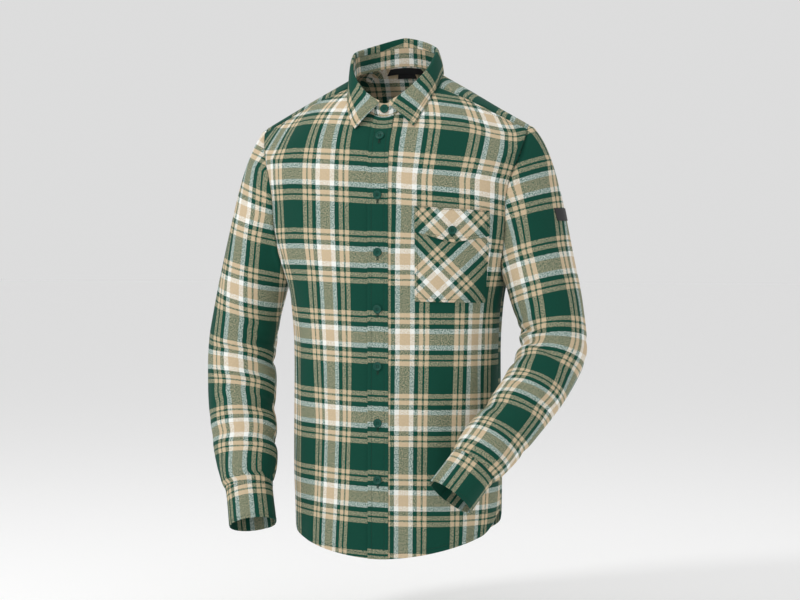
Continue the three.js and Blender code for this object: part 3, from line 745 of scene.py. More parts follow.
flap_u, flap_v = np.meshgrid(np.linspace(0, 1, 61), np.linspace(0, 1, 31))
point_down = 1 - np.sqrt((2 * flap_u - 1) ** 2 + 0.004)
flap_bottom = mix(flap_corner, flap_point, point_down)
flap_side = pocket_width * np.minimum(flap_u, 1 - flap_u)
flap_in = np.minimum(flap_side, 50 * flap_v)
pulls = bump(np.hypot((flap_u - 0.5) * pocket_width, (flap_v - 0.42) * 46), 0, 26)
flap_lift = (
    2 * layer + seam_gap
    + 1.3 * np.sin(np.pi * flap_u) * (1 - flap_v)
    + 1.1 * bump(flap_u, 0.30, 0.07) * (1 - flap_v) ** 0.6
    + 0.9 * bump(flap_u, 0.72, 0.06) * (1 - flap_v) ** 0.6
    - 0.9 * pulls
    + 0.3 * np.sin(flap_u * 60) * bump(flap_v, 1, 0.25)
    - 0.3 * bump(flap_in, 5, 1.6)
)
plaid_flap = (-12.574, -12.974)
patch("pocket_flap", flap_u, flap_v, flap_bottom, flap_top, flap_lift, plaid_flap)

# %% [markdown]
# ## Back and yoke
# The back goes from side seam to side seam and up to the yoke. The yoke is the piece that carries
# the shirt on the shoulders, from one front seam over both shoulders to the other.

# %% Back and yoke
def back_edge(station):
    """Turn of the outer edge of the back: side seam, then armhole."""
    return np.where(station <= armpit, 90.0, armhole_back(station))


def run_along(points, ways):
    """Lengths of cloth in one direction. Each step of the grid counts by its part in that
    direction. Steps are added along the bottom row from its middle, then up each column."""
    ways = unit(ways)
    row = (np.diff(points[0], axis=0) * (ways[0, 1:] + ways[0, :-1]) / 2).sum(-1)
    row = np.concatenate([[0.0], np.cumsum(row)])
    rise = (np.diff(points, axis=0) * (ways[1:] + ways[:-1]) / 2).sum(-1)
    return row - row[len(row) // 2] + np.concatenate([0 * row[None], np.cumsum(rise, 0)])


lengths = ring_lengths(body_stations, 180)
edge = length_at(lengths, 180 - back_edge(body_stations))[:, None]
u = edge * np.linspace(-1, 1, 131)[None]
v = grain_height(body_stations, lengths, 180, u)
top_seam = bump(body_stations[:, None], shoulder, 3) * -seam_sink
back_lift = seam_dent(edge - np.abs(u), v) + top_seam + hem_dent(v - v[:1])
points, normals = on_body(180 + turn_at(lengths, u), body_stations[:, None], back_lift)
plaid_back = (39.8, 22.0)
cloth_piece("back", points, normals, plaid_map(u, v, plaid_back))

front_seam = yoke_seam(upper_stations)[:, None]
turns = mix(front_seam, 360 - front_seam, np.linspace(0, 1, 201)[None])
stations = upper_stations[:, None] + 0 * turns
bare_points, bare_normals = on_body(turns, stations)
over = unit(np.cross([1.0, 0.0, 0.0], bare_normals))
u, v = (run_along(bare_points, way) for way in (np.cross(bare_normals, over), over))
seam_in = np.minimum(turns - front_seam, 360 - front_seam - turns) * 2.2
yoke_lift = seam_dent(seam_in, stations) - seam_sink * bump(stations, shoulder, 3)
points, normals = on_body(turns, stations, yoke_lift)
plaid_yoke = (39.8, 47.0)
cloth_piece("yoke", points, normals, plaid_map(u, v, plaid_yoke))

# %% [markdown]
# ## Sleeves
# A sleeve is a tube along the arm. Its centre line and sections come from a short table, and its
# head is a bundle of curves that leave the armhole outwards and turn down into the tube. An arm
# that is bent crowds the cloth on the inside of the elbow, so creases run round it there.

# %% Arms
arm_columns = ["x", "y", "z", "half", "deep"]
arms = {
    1: table(
        arm_columns,
        [247, 0, -335, 58, 64],
        [255, -3, -366, 56, 61],
        [262, -10, -404, 54, 58],
        [262, -25, -442, 54, 55],
        [246, -58, -488, 52, 52],
        [218, -98, -537, 48, 50],
        [188, -136, -580, 47, 49],
        [174, -152, -600, 44, 45],
        [166, -160, -611, 40, 40],
        [136, -187, -656, 40, 40],
    ),
    -1: table(
        arm_columns,
        [-250, 0, -335, 57, 64],
        [-261, 2, -380, 56, 61],
        [-268, 2, -430, 58, 58],
        [-266, -10, -490, 58, 55],
        [-260, -26, -540, 56, 53],
        [-248, -47, -592, 54, 50],
        [-240, -61, -628, 50, 47],
        [-236, -70, -650, 44, 44],
        [-233, -74, -660, 39, 39],
        [-218, -98, -721, 39, 39],
    ),
}

# Along is the distance down the arm, turn the direction round it: 0 outside, 90 in front, 180
# inside and 270 behind. The first seven of each sleeve are its broad creases, the rest narrow ones.
crease_columns = ["along", "turn", "deep", "long", "wide", "slant"]
sleeve_creases = {
    1: table(
        crease_columns,
        [70, 140, 7, 13, 46, 0.1],
        [110, 128, 9, 12, 58, -0.15],
        [150, 140, 6, 14, 42, 0.1],
        [96, 330, -4, 26, 50, 0],
        [232, 60, 4, 12, 40, 0.3],
        [262, 120, 5, 11, 50, -0.2],
        [250, 240, 4, 12, 50, 0.2],
        [90, 110, 2.5, 6, 30, 0.25],
        [126, 95, 3.0, 6, 36, -0.30],
        [138, 60, 2.5, 7, 34, -0.35],
        [170, 80, 2.0, 9, 30, 0.35],
        [200, 100, 2.5, 8, 40, -0.25],
        [214, 30, 2.0, 9, 35, 0.30],
        [244, 90, 2.5, 6, 32, 0.10],
        [40, 160, 2.5, 9, 35, 0.20],
        [110, 220, 3.0, 9, 40, 0.20],
        [160, 250, 2.0, 10, 35, -0.20],
        [214, 200, 2.5, 9, 40, 0.25],
        [276, 330, 2.0, 8, 40, 0.15],
        [80, 122, 6.5, 5.5, 40, -0.29],
        [88, 137, -3.5, 8, 40, -0.29],
        [52, 156, 5.0, 6, 30, 0.30],
        [122, 170, 4.5, 7, 34, 0.20],
        [98, 304, 4.5, 7, 32, 0.25],
        [92, 326, 3.5, 6, 32, -0.20],
    ),
    -1: table(
        crease_columns,
        [92, 150, 6, 13, 50, 0.15],
        [128, 170, 5, 14, 55, -0.15],
        [176, 110, 5, 13, 50, 0.2],
        [222, 150, 6, 12, 55, -0.2],
        [260, 60, 4, 12, 45, 0.25],
        [272, 190, 6, 11, 50, 0.15],
        [240, 290, 4, 14, 50, -0.2],
        [60, 120, 2.5, 9, 40, 0.30],
        [110, 105, 2.5, 7, 36, -0.25],
        [148, 120, 3.0, 8, 40, 0.30],
        [196, 140, 2.5, 7, 36, 0.20],
        [206, 60, 2.0, 9, 40, -0.30],
        [240, 100, 2.5, 7, 36, 0.20],
        [284, 110, 2.5, 6, 36, -0.15],
        [150, 240, 2.5, 10, 40, 0.20],
        [190, 260, 2.0, 10, 40, -0.25],
        [70, 220, 2.5, 10, 40, -0.20],
        [292, 300, 2.0, 8, 40, 0.10],
        [126, 206, 3.2, 6, 38, -0.30],
        [116, 84, 3.0, 6, 38, 0.30],
        [120, 306, 2.6, 6, 34, 0.25],
    ),
}


class Arm:
    """The tube of one sleeve: its centre line, the directions across it, and its surface."""

    def __init__(self, side):
        self.side = side
        self.rows = arms[side]
        self.station = run_lengths(np.stack([self.rows[axis] for axis in "xyz"], -1))
        self.length = self.station[-1]

    def centre(self, along):
        """Point of the centre line."""
        return np.stack([curve(self.station, self.rows[axis], along) for axis in "xyz"], -1)

    def frame(self, along):
        """Directions out from the body and forward, both across the arm."""
        start = np.maximum(along - 4, 0)
        down = unit(self.centre(np.minimum(start + 8, self.length)) - self.centre(start))
        out = np.zeros_like(down)
        out[..., 0] = self.side
        out = unit(out - down * (out * down).sum(-1, keepdims=True))
        return down, out, np.cross(down, out) * self.side

    def point(self, turn, along, lift=0.0):
        """Centre, plus out times half the width times cosine, plus forward times half the depth
        times sine. Creases make both smaller, each by a bell round the arm and one along it."""
        turn, along = np.broadcast_arrays(np.asarray(turn, float), np.asarray(along, float))
        down, out, forward = self.frame(along)
        sunk = np.zeros(turn.shape)
        for crease in rows_of(sleeve_creases[self.side]):
            aside = wrapped(turn - crease["turn"])
            away = (along - crease["along"] - crease["slant"] * aside) / crease["long"]
            sunk += crease["deep"] * bump(aside, 0, crease["wide"]) * np.exp(-(away**2))
        half = curve(self.station, self.rows["half"], along) - sunk + lift
        deep = curve(self.station, self.rows["deep"], along) - sunk + lift
        cosine, sine = np.cos(np.radians(turn)), np.sin(np.radians(turn))
        return self.centre(along) + out * (half * cosine)[..., None] + forward * (deep * sine)[..., None]


def armhole_line(side, turns):
    """Points of the armhole seam for directions round the arm. From the bottom, 180 degrees, the
    seam goes up its front to 0 at the shoulder point and down its back, shared out by length."""
    rising = smooth_steps(armpit, shoulder, 120, 2.0)
    over = np.linspace(float(armhole_front(shoulder)), float(armhole_back(shoulder)), 31)
    edge = np.concatenate([
        np.stack([armhole_front(rising), rising], -1),
        np.stack([over, 0 * over + shoulder], -1)[1:-1],
        np.stack([armhole_back(rising), rising], -1)[::-1],
    ])
    length = run_lengths(body_point(side * edge[:, 0], edge[:, 1]))
    ridge = length[np.argmin(np.abs(edge[:, 0] - 90) + (edge[:, 1] < shoulder) * 99)]
    share = np.where(turns >= 0, ridge * (1 - turns / 180), ridge + (length[-1] - ridge) * (-turns / 180))
    turn, station = (np.interp(share, length, column) for column in edge.T)
    return body_point(side * turn, station)


head_start, head_end, head_out = 0.62, 0.9, 0.2
down_rows = 110
plaid_placket = (20.0, 12.0)
head_top = {1: 1.2, -1: 0.85}


def sleeve_head(arm, turns, t):
    """Curves from the armhole to the top of the tube. Each leaves along its chord, tipped outwards,
    most at the top of the shoulder, and arrives straight down the arm, as a cubic in t."""
    start, end = armhole_line(arm.side, turns), arm.point(turns, 0.0)
    chord = end - start
    size = np.linalg.norm(chord, axis=-1, keepdims=True)
    topness = ((1 + np.cos(np.radians(turns))) / 2) ** 2
    tip = np.stack([arm.side * (head_out + head_top[arm.side] * topness), 0 * turns, -0.15 * topness], -1)
    leave = unit(chord / size + tip) * size * head_start
    arrive = arm.frame(np.array(0.0))[0] * size * head_end
    t = np.asarray(t)[..., None]
    rise = t * t * (3 - 2 * t)
    return start + chord * rise + leave * t * (1 - t) ** 2 - arrive * t * t * (1 - t)


def tube_normals(points):
    """Normals of a grid that closes on itself, from its neighbours round and along."""
    around = np.roll(points, -1, 1) - np.roll(points, 1, 1)
    along = np.gradient(points, axis=0)
    normals = unit(np.cross(around, along))
    outward = (normals * (points - points.mean(1, keepdims=True))).sum(-1, keepdims=True)
    return normals * np.sign(outward.mean())


sleeve_label_turns = (28, -6)
sleeve_drift = {
    1: table(
        drift_columns,
        [200, -79, -24, 0, 0.09],
        [165, -90, -22, 0, 0.09],
        [130, -97, -19, 0, 0.05],
        [95, -104, -16, 0, 0.03],
        [60, -111, -15, 0, 0.02],
        [10, -113, -10, 0, 0],
        [-60, -111, -10, 0, 0],
        [-90, -112, -11, 0, 0.10],
        [-135, -113, -15, 0, 0.15],
        [-180, -104, -29, 0, 0.12],
        [-205, -103, -42, 0, 0.22],
        [-245, -99, -50, 0, 0.28],
        [-290, -96, -49, 0, 0.17],
        [-325, -92, -56, 0, 0.10],
    ),
    -1: table(
        drift_columns,
        [200, -5, 16, 0, 0],
        [158, -24, 14, 0, 0.03],
        [128, -36, 17, 0, 0],
        [90, -45, 18, 0, 0],
        [60, -53, 18, 0, 0],
        [0, -66, 18, 0, 0],
        [-50, -73, 15, 0, 0.05],
        [-105, -74, 11, 0, 0.20],
        [-175, -75, 11, 0, 0.19],
        [-220, -74, 13, 0, 0.13],
        [-290, -63, 9, 0, 0.14],
        [-335, -47, 12, 0, 0.10],
    ),
}
sleeve_turns = np.linspace(180, -180, 145)[:-1]
outer_column = int(np.argmin(np.abs(sleeve_turns)))
sleeve_surface = {}
for name, side in sides.items():
    arm = Arm(side)
    head_steps = (np.linspace(0, 1, 49)[:-1] ** 1.25)[:, None]
    head = sleeve_head(arm, sleeve_turns[None], head_steps)
    sleeve_end = arm.length - cuff_length - seam_gap
    down = np.linspace(0, sleeve_end, down_rows)[:, None]
    points = np.concatenate([head, arm.point(sleeve_turns[None], down)])
    fall = run_lengths(points)
    v = fall - fall[len(head)]
    v[len(head) :] = down
    normals = tube_normals(points)
    seam_lift = seam_dent(fall, sleeve_turns[None] * 0.9) + 0.8 * bump(fall, 9, 6)
    gather = 0.8 * np.sin(np.radians(sleeve_turns) * 22) * bump(v, sleeve_end, 14)
    points = points + normals * (seam_lift + gather)[..., None]
    u = run_lengths(np.concatenate([points, points[:, :1]], 1), 1)
    u = u[:, outer_column, None] - u
    u[: len(head)] = u[len(head)]
    v = -np.concatenate([v, v[:, :1]], 1)
    sleeve_surface[side] = points, normals, u, v
    woven = woven_map(u, v, sleeve_drift[side])
    nodes = (f"{name}_sleeve_head", f"{name}_sleeve")
    cloth_piece(f"{name}_sleeve", points, normals, woven, nodes, closed=True)

# %% [markdown]
# ## Sleeve plackets
# Above each cuff the sleeve is slit, so that a hand can pass. A narrow strip binds the slit on the
# side of the arm that faces back. It lies on the sleeve, so it is made from the sleeve's own points.

# %% Sleeve plackets
placket_turn = -132
placket_half = 12
placket_share = 5 / 14
for name, side in sides.items():
    points, normals, u, v = sleeve_surface[side]
    columns = np.flatnonzero(np.abs(sleeve_turns - placket_turn) <= placket_half)
    start = len(points) - round(placket_share * down_rows)
    points, normals = points[start:, columns], normals[start:, columns]
    u, v = u[start:, columns], v[start:, columns]
    edge_in = np.minimum(u[:, :1] - u, u - u[:, -1:])
    lift = layer - 0.3 * bump(edge_in, 2.5, 1.0) + 0.2 * np.sin(v / 2.9) * bump(edge_in, 1, 2)
    strip, woven = f"{name}_sleeve_placket", plaid_map(u, v, plaid_placket)
    points = points + normals * lift[..., None]
    cloth_piece(strip, points, normals, woven)

# %% [markdown]
# ## Cuffs
# A cuff is a stiff double strip that laps over itself at the back of the wrist and buttons there.
# It is stitched close to all its edges, and its lower edge is rounded where it is turned.

# %% Cuffs
plaid_cuff = {1: (-24.0, 122.8), -1: (-47.1, 122.8)}
wrist_radius = 40
for name, side in sides.items():
    arm = Arm(side)
    turns = np.linspace(cuff_turn, cuff_turn + 360 + cuff_overlap, 129)[None]
    along = np.linspace(arm.length - cuff_length, arm.length, 33)[:, None]
    past = smooth(cuff_turn + 360 - cuff_lap, cuff_turn + 360, turns)
    edge_in = np.minimum(along - along[0], arm.length - along)
    lift = layer * past - 0.3 * bump(edge_in, 4.5, 1.4) - 0.5 * bump(edge_in, 0, 1.0)
    lift = lift + 0.2 * np.sin(turns / 2.3) * bump(edge_in, 2, 4)
    _, out, forward = arm.frame(along)
    angle = np.radians(turns)
    normals = out * np.cos(angle)[..., None] + forward * np.sin(angle)[..., None]
    u, v = wrist_radius * angle + 0 * along, along[0] - along + 0 * turns
    points, woven = arm.point(turns, along, lift), plaid_map(-u, v, plaid_cuff[side])
    cloth_piece(f"{name}_cuff", points, normals, woven)

# %% [markdown]
# ## Collar
# A shirt collar is two pieces. The stand is a narrow band on the neckline, and its left end buttons
# over its right. The fall is sewn to the top of the stand, rolls over and lies on the shoulders. Its
# roll could be a bent tube, but it opens towards the front, so both legs and the roll between them
# are one curve through ten points, worked out afresh for each column round the neck.

# %% Collar stand
stand_end = 13
stand_rise = 0.8
stand_round = 5
stand_level_turn = 34
stand_height = 26
stand_shape = table(
    ["station", "height", "lean", "right_lean", "roll"],
    [0, 23, 1, 1, 0.5],
    [60, 27, 4, 1, 4],
    [110, 29, 5, -3, 7],
    [180, 30, 4, 4, 14],
)
neck_lengths = ring_lengths(np.array([float(neckline)]), 0)


def neck_turn(length):
    """Turn on the neckline at a length of cloth from the centre front."""
    return float(turn_at(neck_lengths, np.array([[float(length)]]))[0, 0])


stand_end_turn = neck_turn(stand_end)


def stand_lift(turn):
    """The stand lies one layer higher where its left end passes over the right one."""
    return layer * (1 - smooth(stand_end_turn + 3, stand_level_turn, turn))


def stand_point(turn, up, lift):
    """A point of the stand, its outward direction and the roll of the fold above it. Up runs from 0
    on the neckline to 1 at the top, and the lean tips the top in towards the neck."""
    turn, up, lift = np.broadcast_arrays(*(np.asarray(a, float) for a in (turn, up, lift)))
    around = wrapped(turn)
    shape = {
        name: curve(stand_shape["station"], stand_shape[name], np.abs(around))
        for name in list(stand_shape)[1:]
    }
    ahead = body_point(turn + 1, neckline) - body_point(turn - 1, neckline)
    outward = unit(np.stack([ahead[..., 1], -ahead[..., 0], 0 * turn], -1))
    lean = np.where(around < 0, shape["right_lean"], shape["lean"])
    point = body_point(turn, neckline) + outward * (lift - lean * up)[..., None]
    point[..., 2] += seam_gap + stand_rise * lift * (1 - up) + shape["height"] * up
    return point, outward, shape["roll"]


turns = np.linspace(-stand_end_turn, 360 + stand_end_turn, 300)[None]
inset = np.minimum(turns + stand_end_turn, 360 + stand_end_turn - turns)
rounding = 1 - np.sqrt(1 - (1 - np.clip(inset / stand_round, 0, 1)) ** 2)
low = 0.1 * (1 - np.clip(inset / stand_end_turn, 0, 1)) + 0.25 * rounding
high = 1 - 0.3 * rounding
up = mix(low, high, np.linspace(0, 1, 15)[:, None])
stand_edge = np.minimum(up - low, high - up) * stand_height
lift = stand_lift(turns) - 0.3 * bump(stand_edge, 4.5, 1.4) - 0.4 * bump(stand_edge, 0, 1.0)
points, normals, _ = stand_point(turns, up, lift)
u, v = run_lengths(points[0]), stand_height * up
u = (u - np.interp(180, turns[0], u))[None] + 0 * up
plaid_stand = (-float(u[0, 0]), 22.0)
cloth_piece("collar_stand", points, normals, plaid_map(u, v, plaid_stand))

# %% Collar fall
fall_edge = table(
    ["station", "turn", "on", "right_turn", "right_on"],
    [0, 24, 718, 20, 718],
    [0.12, 37, 737, 35, 737],
    [0.3, 60, 751, 60, 754],
    [0.5, 92, 755, 92, 757],
    [1, 180, 751, 180, 751],
)
fold_path = table(
    ["out", "roll", "rise"],
    [-wall, 0, 0], [-wall, 0.5, 0], [0.4 - wall, 1, 1], [1, 1, 2.4], [3.2, 1, 1.2], [4.4, 1, -2],
)
fold_top = 3
fall_steps = np.array([0.25, 0.5, 0.75, 1])
fall_bulge = 1.5
edge_lift = layer + 0.4
fold_front = neck_turn(band_half / 2)


def fall_line(part, side):
    """Ten points of the fall for each part, from 0 at the front edge to 1 at the centre back. Six
    turn over the top of the stand. Four come down to the outer edge, as shares of a straight line
    plus a bulge that is the sine of half a turn."""
    turn = mix(fold_front, 180, part)
    lift = stand_lift(turn) if side > 0 else 0.0 * turn
    top, outward, roll = stand_point(side * turn, 1.0, lift)
    line = []
    for step in rows_of(fold_path):
        point = top + outward * step["out"]
        point[:, 2] += seam_gap + roll * step["roll"] + step["rise"]
        line.append(point)
    names = ("turn", "on") if side > 0 else ("right_turn", "right_on")
    edge_turn, edge_on = (curve(fall_edge["station"], fall_edge[name], part) for name in names)
    edge, _ = on_body(side * edge_turn, edge_on, edge_lift + 0 * part)
    bulge = outward * fall_bulge
    down = [mix(line[-1], edge, step) + bulge * np.sin(np.pi * step) for step in fall_steps]
    return np.stack(line + down)


parts = np.linspace(0, 1, 131) ** 1.3
knots = np.concatenate([fall_line(parts, 1), fall_line(parts[:-1][::-1], -1)], 1)
spans = np.linalg.norm(np.diff(knots, axis=0), axis=-1).mean(1)
path = np.concatenate([[0.0], np.cumsum(spans)])
fold_end = path[len(fold_path["out"]) - 1]
path_at = np.concatenate([np.linspace(0, fold_end, 17)[:-1], np.linspace(fold_end, path[-1], 37)])
rows = np.repeat(path_at[:, None], knots.shape[1], 1)
points = np.stack([curve(path, knots[:, None, :, axis], rows) for axis in range(3)], -1)
down_way, across_way = np.gradient(points, axis=0), np.gradient(points, axis=1)
normals = unit(np.cross(down_way, across_way))

fall_v = run_lengths(points)
fold_row = np.searchsorted(path_at, path[fold_top])
fall_v = fall_v - fall_v[fold_row]
round_neck = run_lengths(points, 1)
middle = len(parts) - 1
round_neck = round_neck[:, middle : middle + 1] - round_neck
share = np.clip(fall_v / fall_v[-1], 0, 1)
fall_u = mix(round_neck[fold_row], round_neck[-1], share)
front_in = np.minimum(round_neck[:, :1] - round_neck, round_neck - round_neck[:, -1:])
outer_in = fall_v[-1] - fall_v
leaf_edge = np.minimum(front_in, outer_in)
outside = smooth(2, 12, fall_v)
fall_lift = outside * (
    -0.35 * bump(leaf_edge, 6, 1.5) - 0.5 * bump(leaf_edge, 0, 1.2)
    + 0.25 * np.sin(fall_u / 2.7) * bump(leaf_edge, 3, 4)
    + 2.2 * bump(front_in, 0, 16) * smooth(5, 40, fall_v)
)
points = points + normals * fall_lift[..., None]
collar_drift = table(
    ["u", "across", "along"],
    [-240, 9, 43],
    [-170, 4, 42],
    [-110, -22, 39],
    [20, -22, 38],
    [170, -60, 48],
    [230, -61, 49],
)
shift = [np.interp(fall_u, collar_drift["u"], collar_drift[name]) for name in ("across", "along")]
woven = plaid_map(fall_u, outer_in, shift)
cloth_piece("collar_fall", points, normals, woven)

# %% [markdown]
# ## Buttons
# A shirt button is a small turned dish with a rim, four holes and a flat back. Its surface is one
# profile swept round, and the floor of the dish drops into the holes. Thread goes through the holes
# and holds it just off the cloth.

# %% Buttons
button_gap = 0.4
hole_place = 1.45
hole_radius = 0.85
hole_depth = 1.5
# Radius and height of the profile, from the middle of the back round the rim to the floor.
dish_rim = np.array([
    [0.3, 0], [6.2, 0], [6.75, 0.25], [7, 0.7], [7, 1.9], [6.8, 2.35], [6.3, 2.6], [5.7, 2.6],
    [5.1, 2.4], [4.7, 2.0], [4.3, 1.75], [3.9, 1.7],
])
dish = np.concatenate([dish_rim, np.stack([np.linspace(3.7, 0.3, 18), np.full(18, 1.7)], -1)])
button_sides = 56


def frame_on(normal):
    """Two directions across a normal: one level, and one up the cloth."""
    across = unit(np.cross([0.0, 0.0, 1.0], normal))
    return across, np.cross(normal, across)


def swept_mesh(name, points):
    """Closed solids, each a row of rings with a cap on both ends. The axes of points are the
    solid, the ring, the place round it, and x, y and z."""
    count, rings, sides = points.shape[:3]
    r, c = (grid.ravel() for grid in np.mgrid[0 : rings - 1, 0:sides])
    here, after = r * sides + c, r * sides + (c + 1) % sides
    quads = np.stack([here, after, after + sides, here + sides], 1)
    ring = np.arange(sides)
    caps = np.stack([ring[::-1], ring + (rings - 1) * sides])
    first = np.arange(count)[:, None, None] * sides * rings
    mesh = bpy.data.meshes.new(name)
    faces = (first + quads).reshape(-1, 4).tolist() + (first + caps).reshape(-1, sides).tolist()
    mesh.from_pydata(points.reshape(-1, 3) / 1000, [], faces)
    mesh.shade_smooth()
    return mesh


def button_mesh(name, seat, normal):
    """The profile swept round the normal. Near a hole the floor falls by the depth of a bell."""
    across, up = frame_on(normal)
    angle = np.linspace(0, 2 * np.pi, button_sides, endpoint=False)[None]
    radius, height = dish[:, :1], dish[:, 1:] + 0 * angle
    x, y = radius * np.cos(angle), radius * np.sin(angle)
    away = np.hypot(np.abs(x) - hole_place, np.abs(y) - hole_place)
    inside = (np.arange(len(dish)) >= len(dish_rim) - 1)[:, None]
    sunk = hole_depth * (1 - smooth(0.55 * hole_radius, 1.15 * hole_radius, away))
    height = height - inside * sunk + button_gap
    points = seat + x[..., None] * across + y[..., None] * up + height[..., None] * normal
    mesh = swept_mesh(name, points[None])
    mesh.set_sharp_from_angle(angle=np.radians(50))
    return mesh


front_button_at = [711, 585, 493.7, 402.4, 311, 219.8, 128.5]
flap_button_at = 534
seats = {f"front_button_{i + 1}": on_body(0.0, at, 2 * layer) for i, at in enumerate(front_button_at)}
seats["collar_button"] = stand_point(turn=0.5, up=0.6, lift=layer)[:2]
flap_lengths = ring_lengths(np.array([float(flap_button_at)]), 0)
flap_turn = turn_at(flap_lengths, np.array([[pocket_inner + pocket_width / 2]]))[0, 0]
seats["pocket_button"] = on_body(flap_turn, flap_button_at, 2 * layer + seam_gap)
cuff_button_turn = cuff_turn + cuff_overlap / 2
for name, side in sides.items():
    arm = Arm(side)
    along = arm.length - cuff_length / 2
    low, high = (arm.point(cuff_button_turn, along, lift) for lift in (layer, layer + 1))
    seats[f"{name}_cuff_button"] = low, unit(high - low)
for name, (seat, outward) in seats.items():
    show(name, button_mesh(name, seat, outward), button_resin, "button_plastic", name)

# %% [markdown]
# ## Labels
# One label lies on the inside of the yoke with a size tab below it, and one is sewn on the left
# sleeve. All three are bare.

# %% Labels
label_wall = 1.0
label_gap = 0.5
label_turns = np.linspace(-1, 1, 25)[None]
sleeve_label_heights = np.linspace(-205, -225, 9)


def label_piece(name, points, normals, u, v):
    mesh = wall_mesh(name, points, normals, plaid_map(u, v), label_wall)
    piece = show(name, mesh, label_satin, "label_cloth", name)
    run_lengths(points, 1)


for name, half_turn, low, high in (("neck_label", 21, 743.5, 758), ("size_label", 9, 732.5, 743)):
    stations = np.linspace(low, high, 9)[:, None] + 0 * label_turns
    turns = half_turn * label_turns + 0 * stations
    points, normals = on_body(180 + turns, stations, -wall - label_gap)
    label_piece(name, points, normals, turns, stations)

first_turn, last_turn = sleeve_label_turns
columns = np.flatnonzero((sleeve_turns <= first_turn) & (sleeve_turns >= last_turn))
points, normals = (array[::-1, columns] for array in sleeve_surface[1][:2])


def at_label_heights(array):
    """A grid of the sleeve read at the label's heights, column by column."""
    strips = [
        [np.interp(sleeve_label_heights, points[:, i, 2], array[:, i, axis]) for axis in range(3)]
        for i in range(len(columns))
    ]
    return np.array(strips).transpose(2, 0, 1)


label_normals = unit(at_label_heights(normals))
label_points = at_label_heights(points) + label_normals * (label_wall + label_gap)
u = run_lengths(label_points, 1)
v = sleeve_label_heights[:, None] + 0 * u
label_piece("sleeve_label", label_points, label_normals, u, v)

# %% [markdown]
# ## Stitches
# Every seam and edge is stitched, with about eight stitches in 25 mm. A stitch is a short grain of
# thread that dives into the cloth at both ends, so each is a five-sided spindle on its seam line.

# %% Stitches
stitch_pitch = 3.3
stitch_half = 1.25
thread_radius = 0.34
spindle = np.array([[-1, 0.45], [-0.55, 1], [0.55, 1], [1, 0.45]])
spindle_sides = 5


def stitch_mesh(name, places, ways, normals, half=stitch_half, radius=thread_radius):
    """Spindles at the places, each along its way. A ring of a spindle has the radius of the thread
    times the share in the table, and its two end rings are closed."""
    across = unit(np.cross(normals, ways))
    angle = np.linspace(0, 2 * np.pi, spindle_sides, endpoint=False)
    ring = np.cos(angle)[:, None] * across[:, None] + np.sin(angle)[:, None] * normals[:, None]
    rows = places[:, None] + ways[:, None] * (spindle[:, 0] * half)[None, :, None]
    return swept_mesh(name, rows[:, :, None] + ring[:, None] * (spindle[:, 1] * radius)[:, None, None])


def inset_line(name, edge, distance, trim):
    """Places, ways and normals of stitches on the line at a distance inside one edge of a piece,
    less a length at each end. The edges are the first and last columns (left, right) and rows
    (bottom, top)."""
    points, normals = grids[name]
    if edge in ("bottom", "top"):
        points, normals = points.transpose(1, 0, 2), normals.transpose(1, 0, 2)
    if edge in ("right", "top"):
        points, normals = points[:, ::-1], normals[:, ::-1]
    lengths = run_lengths(points, 1)
    k = np.clip((lengths < distance).sum(1) - 1, 0, lengths.shape[1] - 2)
    row = np.arange(len(points))
    t = ((distance - lengths[row, k]) / (lengths[row, k + 1] - lengths[row, k]))[:, None]
    line = mix(points[row, k], points[row, k + 1], t)
    line_normals = unit(mix(normals[row, k], normals[row, k + 1], t))
    run = run_lengths(line)
    count = max(int((run[-1] - trim[0] - trim[1]) / stitch_pitch), 2)
    at = np.linspace(trim[0] + stitch_pitch / 2, run[-1] - trim[1] - stitch_pitch / 2, count)

    def along(array, where):
        return np.stack([np.interp(where, run, array[:, axis]) for axis in range(3)], -1)

    ways = unit(along(line, at + 0.8) - along(line, at - 0.8))
    return along(line, at), ways, unit(along(line_normals, at))


def joined(lines):
    """Places, ways and normals of several lines of stitches, as one array of each."""
    return [np.concatenate(parts) for parts in zip(*lines)]


thread_proud = 0.12
armhole_start = float(run_lengths(fronts[1][0][:, -1])[(front_stations < armpit).sum()])
leaf_start = float(fold_end) + 6

# A row is a piece, its stitched edges, how far inside them the line lies, and the lengths left free
# at its start and end. A front's side seam is plain, so its line starts at the armhole.
seams = [
    ("left_front", "right", 6.5, armhole_start + 4, 4),
    ("left_front", "bottom", hem_turn, 2 * band_half + 2, 3),
    ("right_front", "right", 6.5, armhole_start + 4, 4),
    ("right_front", "bottom", hem_turn, 2 * band_half + 2, 3),
    ("front_band", "left right", stitch_inset, 2, 3),
    ("pocket", "left right", 4.5, 4.5, 2),
    ("pocket", "bottom", 4.5, 5, 5),
    ("pocket_flap", "left right", 5, 5, 2),
    ("pocket_flap", "bottom", 5, 5, 5),
    ("pocket_flap", "top", 2, 1, 1),
    ("back", "bottom", hem_turn, 3, 3),
    ("yoke", "left right", 2.5, 2, 2),
    ("yoke", "bottom", 2.5, 3, 3),
    ("left_cuff", "left right bottom top", 4.5, 5, 5),
    ("left_sleeve_placket", "left right", 2.5, 2, 1),
    ("right_cuff", "left right bottom top", 4.5, 5, 5),
    ("right_sleeve_placket", "left right", 2.5, 2, 1),
    ("collar_fall", "left right", 6, leaf_start, 6),
    ("collar_fall", "top", 6, 6, 6),
    ("collar_stand", "bottom", 2.5, 8, 8),
]
for name in dict.fromkeys(row[0] for row in seams):
    lines = [
        inset_line(name, edge, distance, trim)
        for piece, edges, distance, *trim in seams
        if piece == name
        for edge in edges.split()
    ]
    places, ways, normals = joined(lines)
    mesh = stitch_mesh(f"{name}_stitches", places + normals * thread_proud, ways, normals)
    show(f"{name}_stitches", mesh, thread, "flannel")

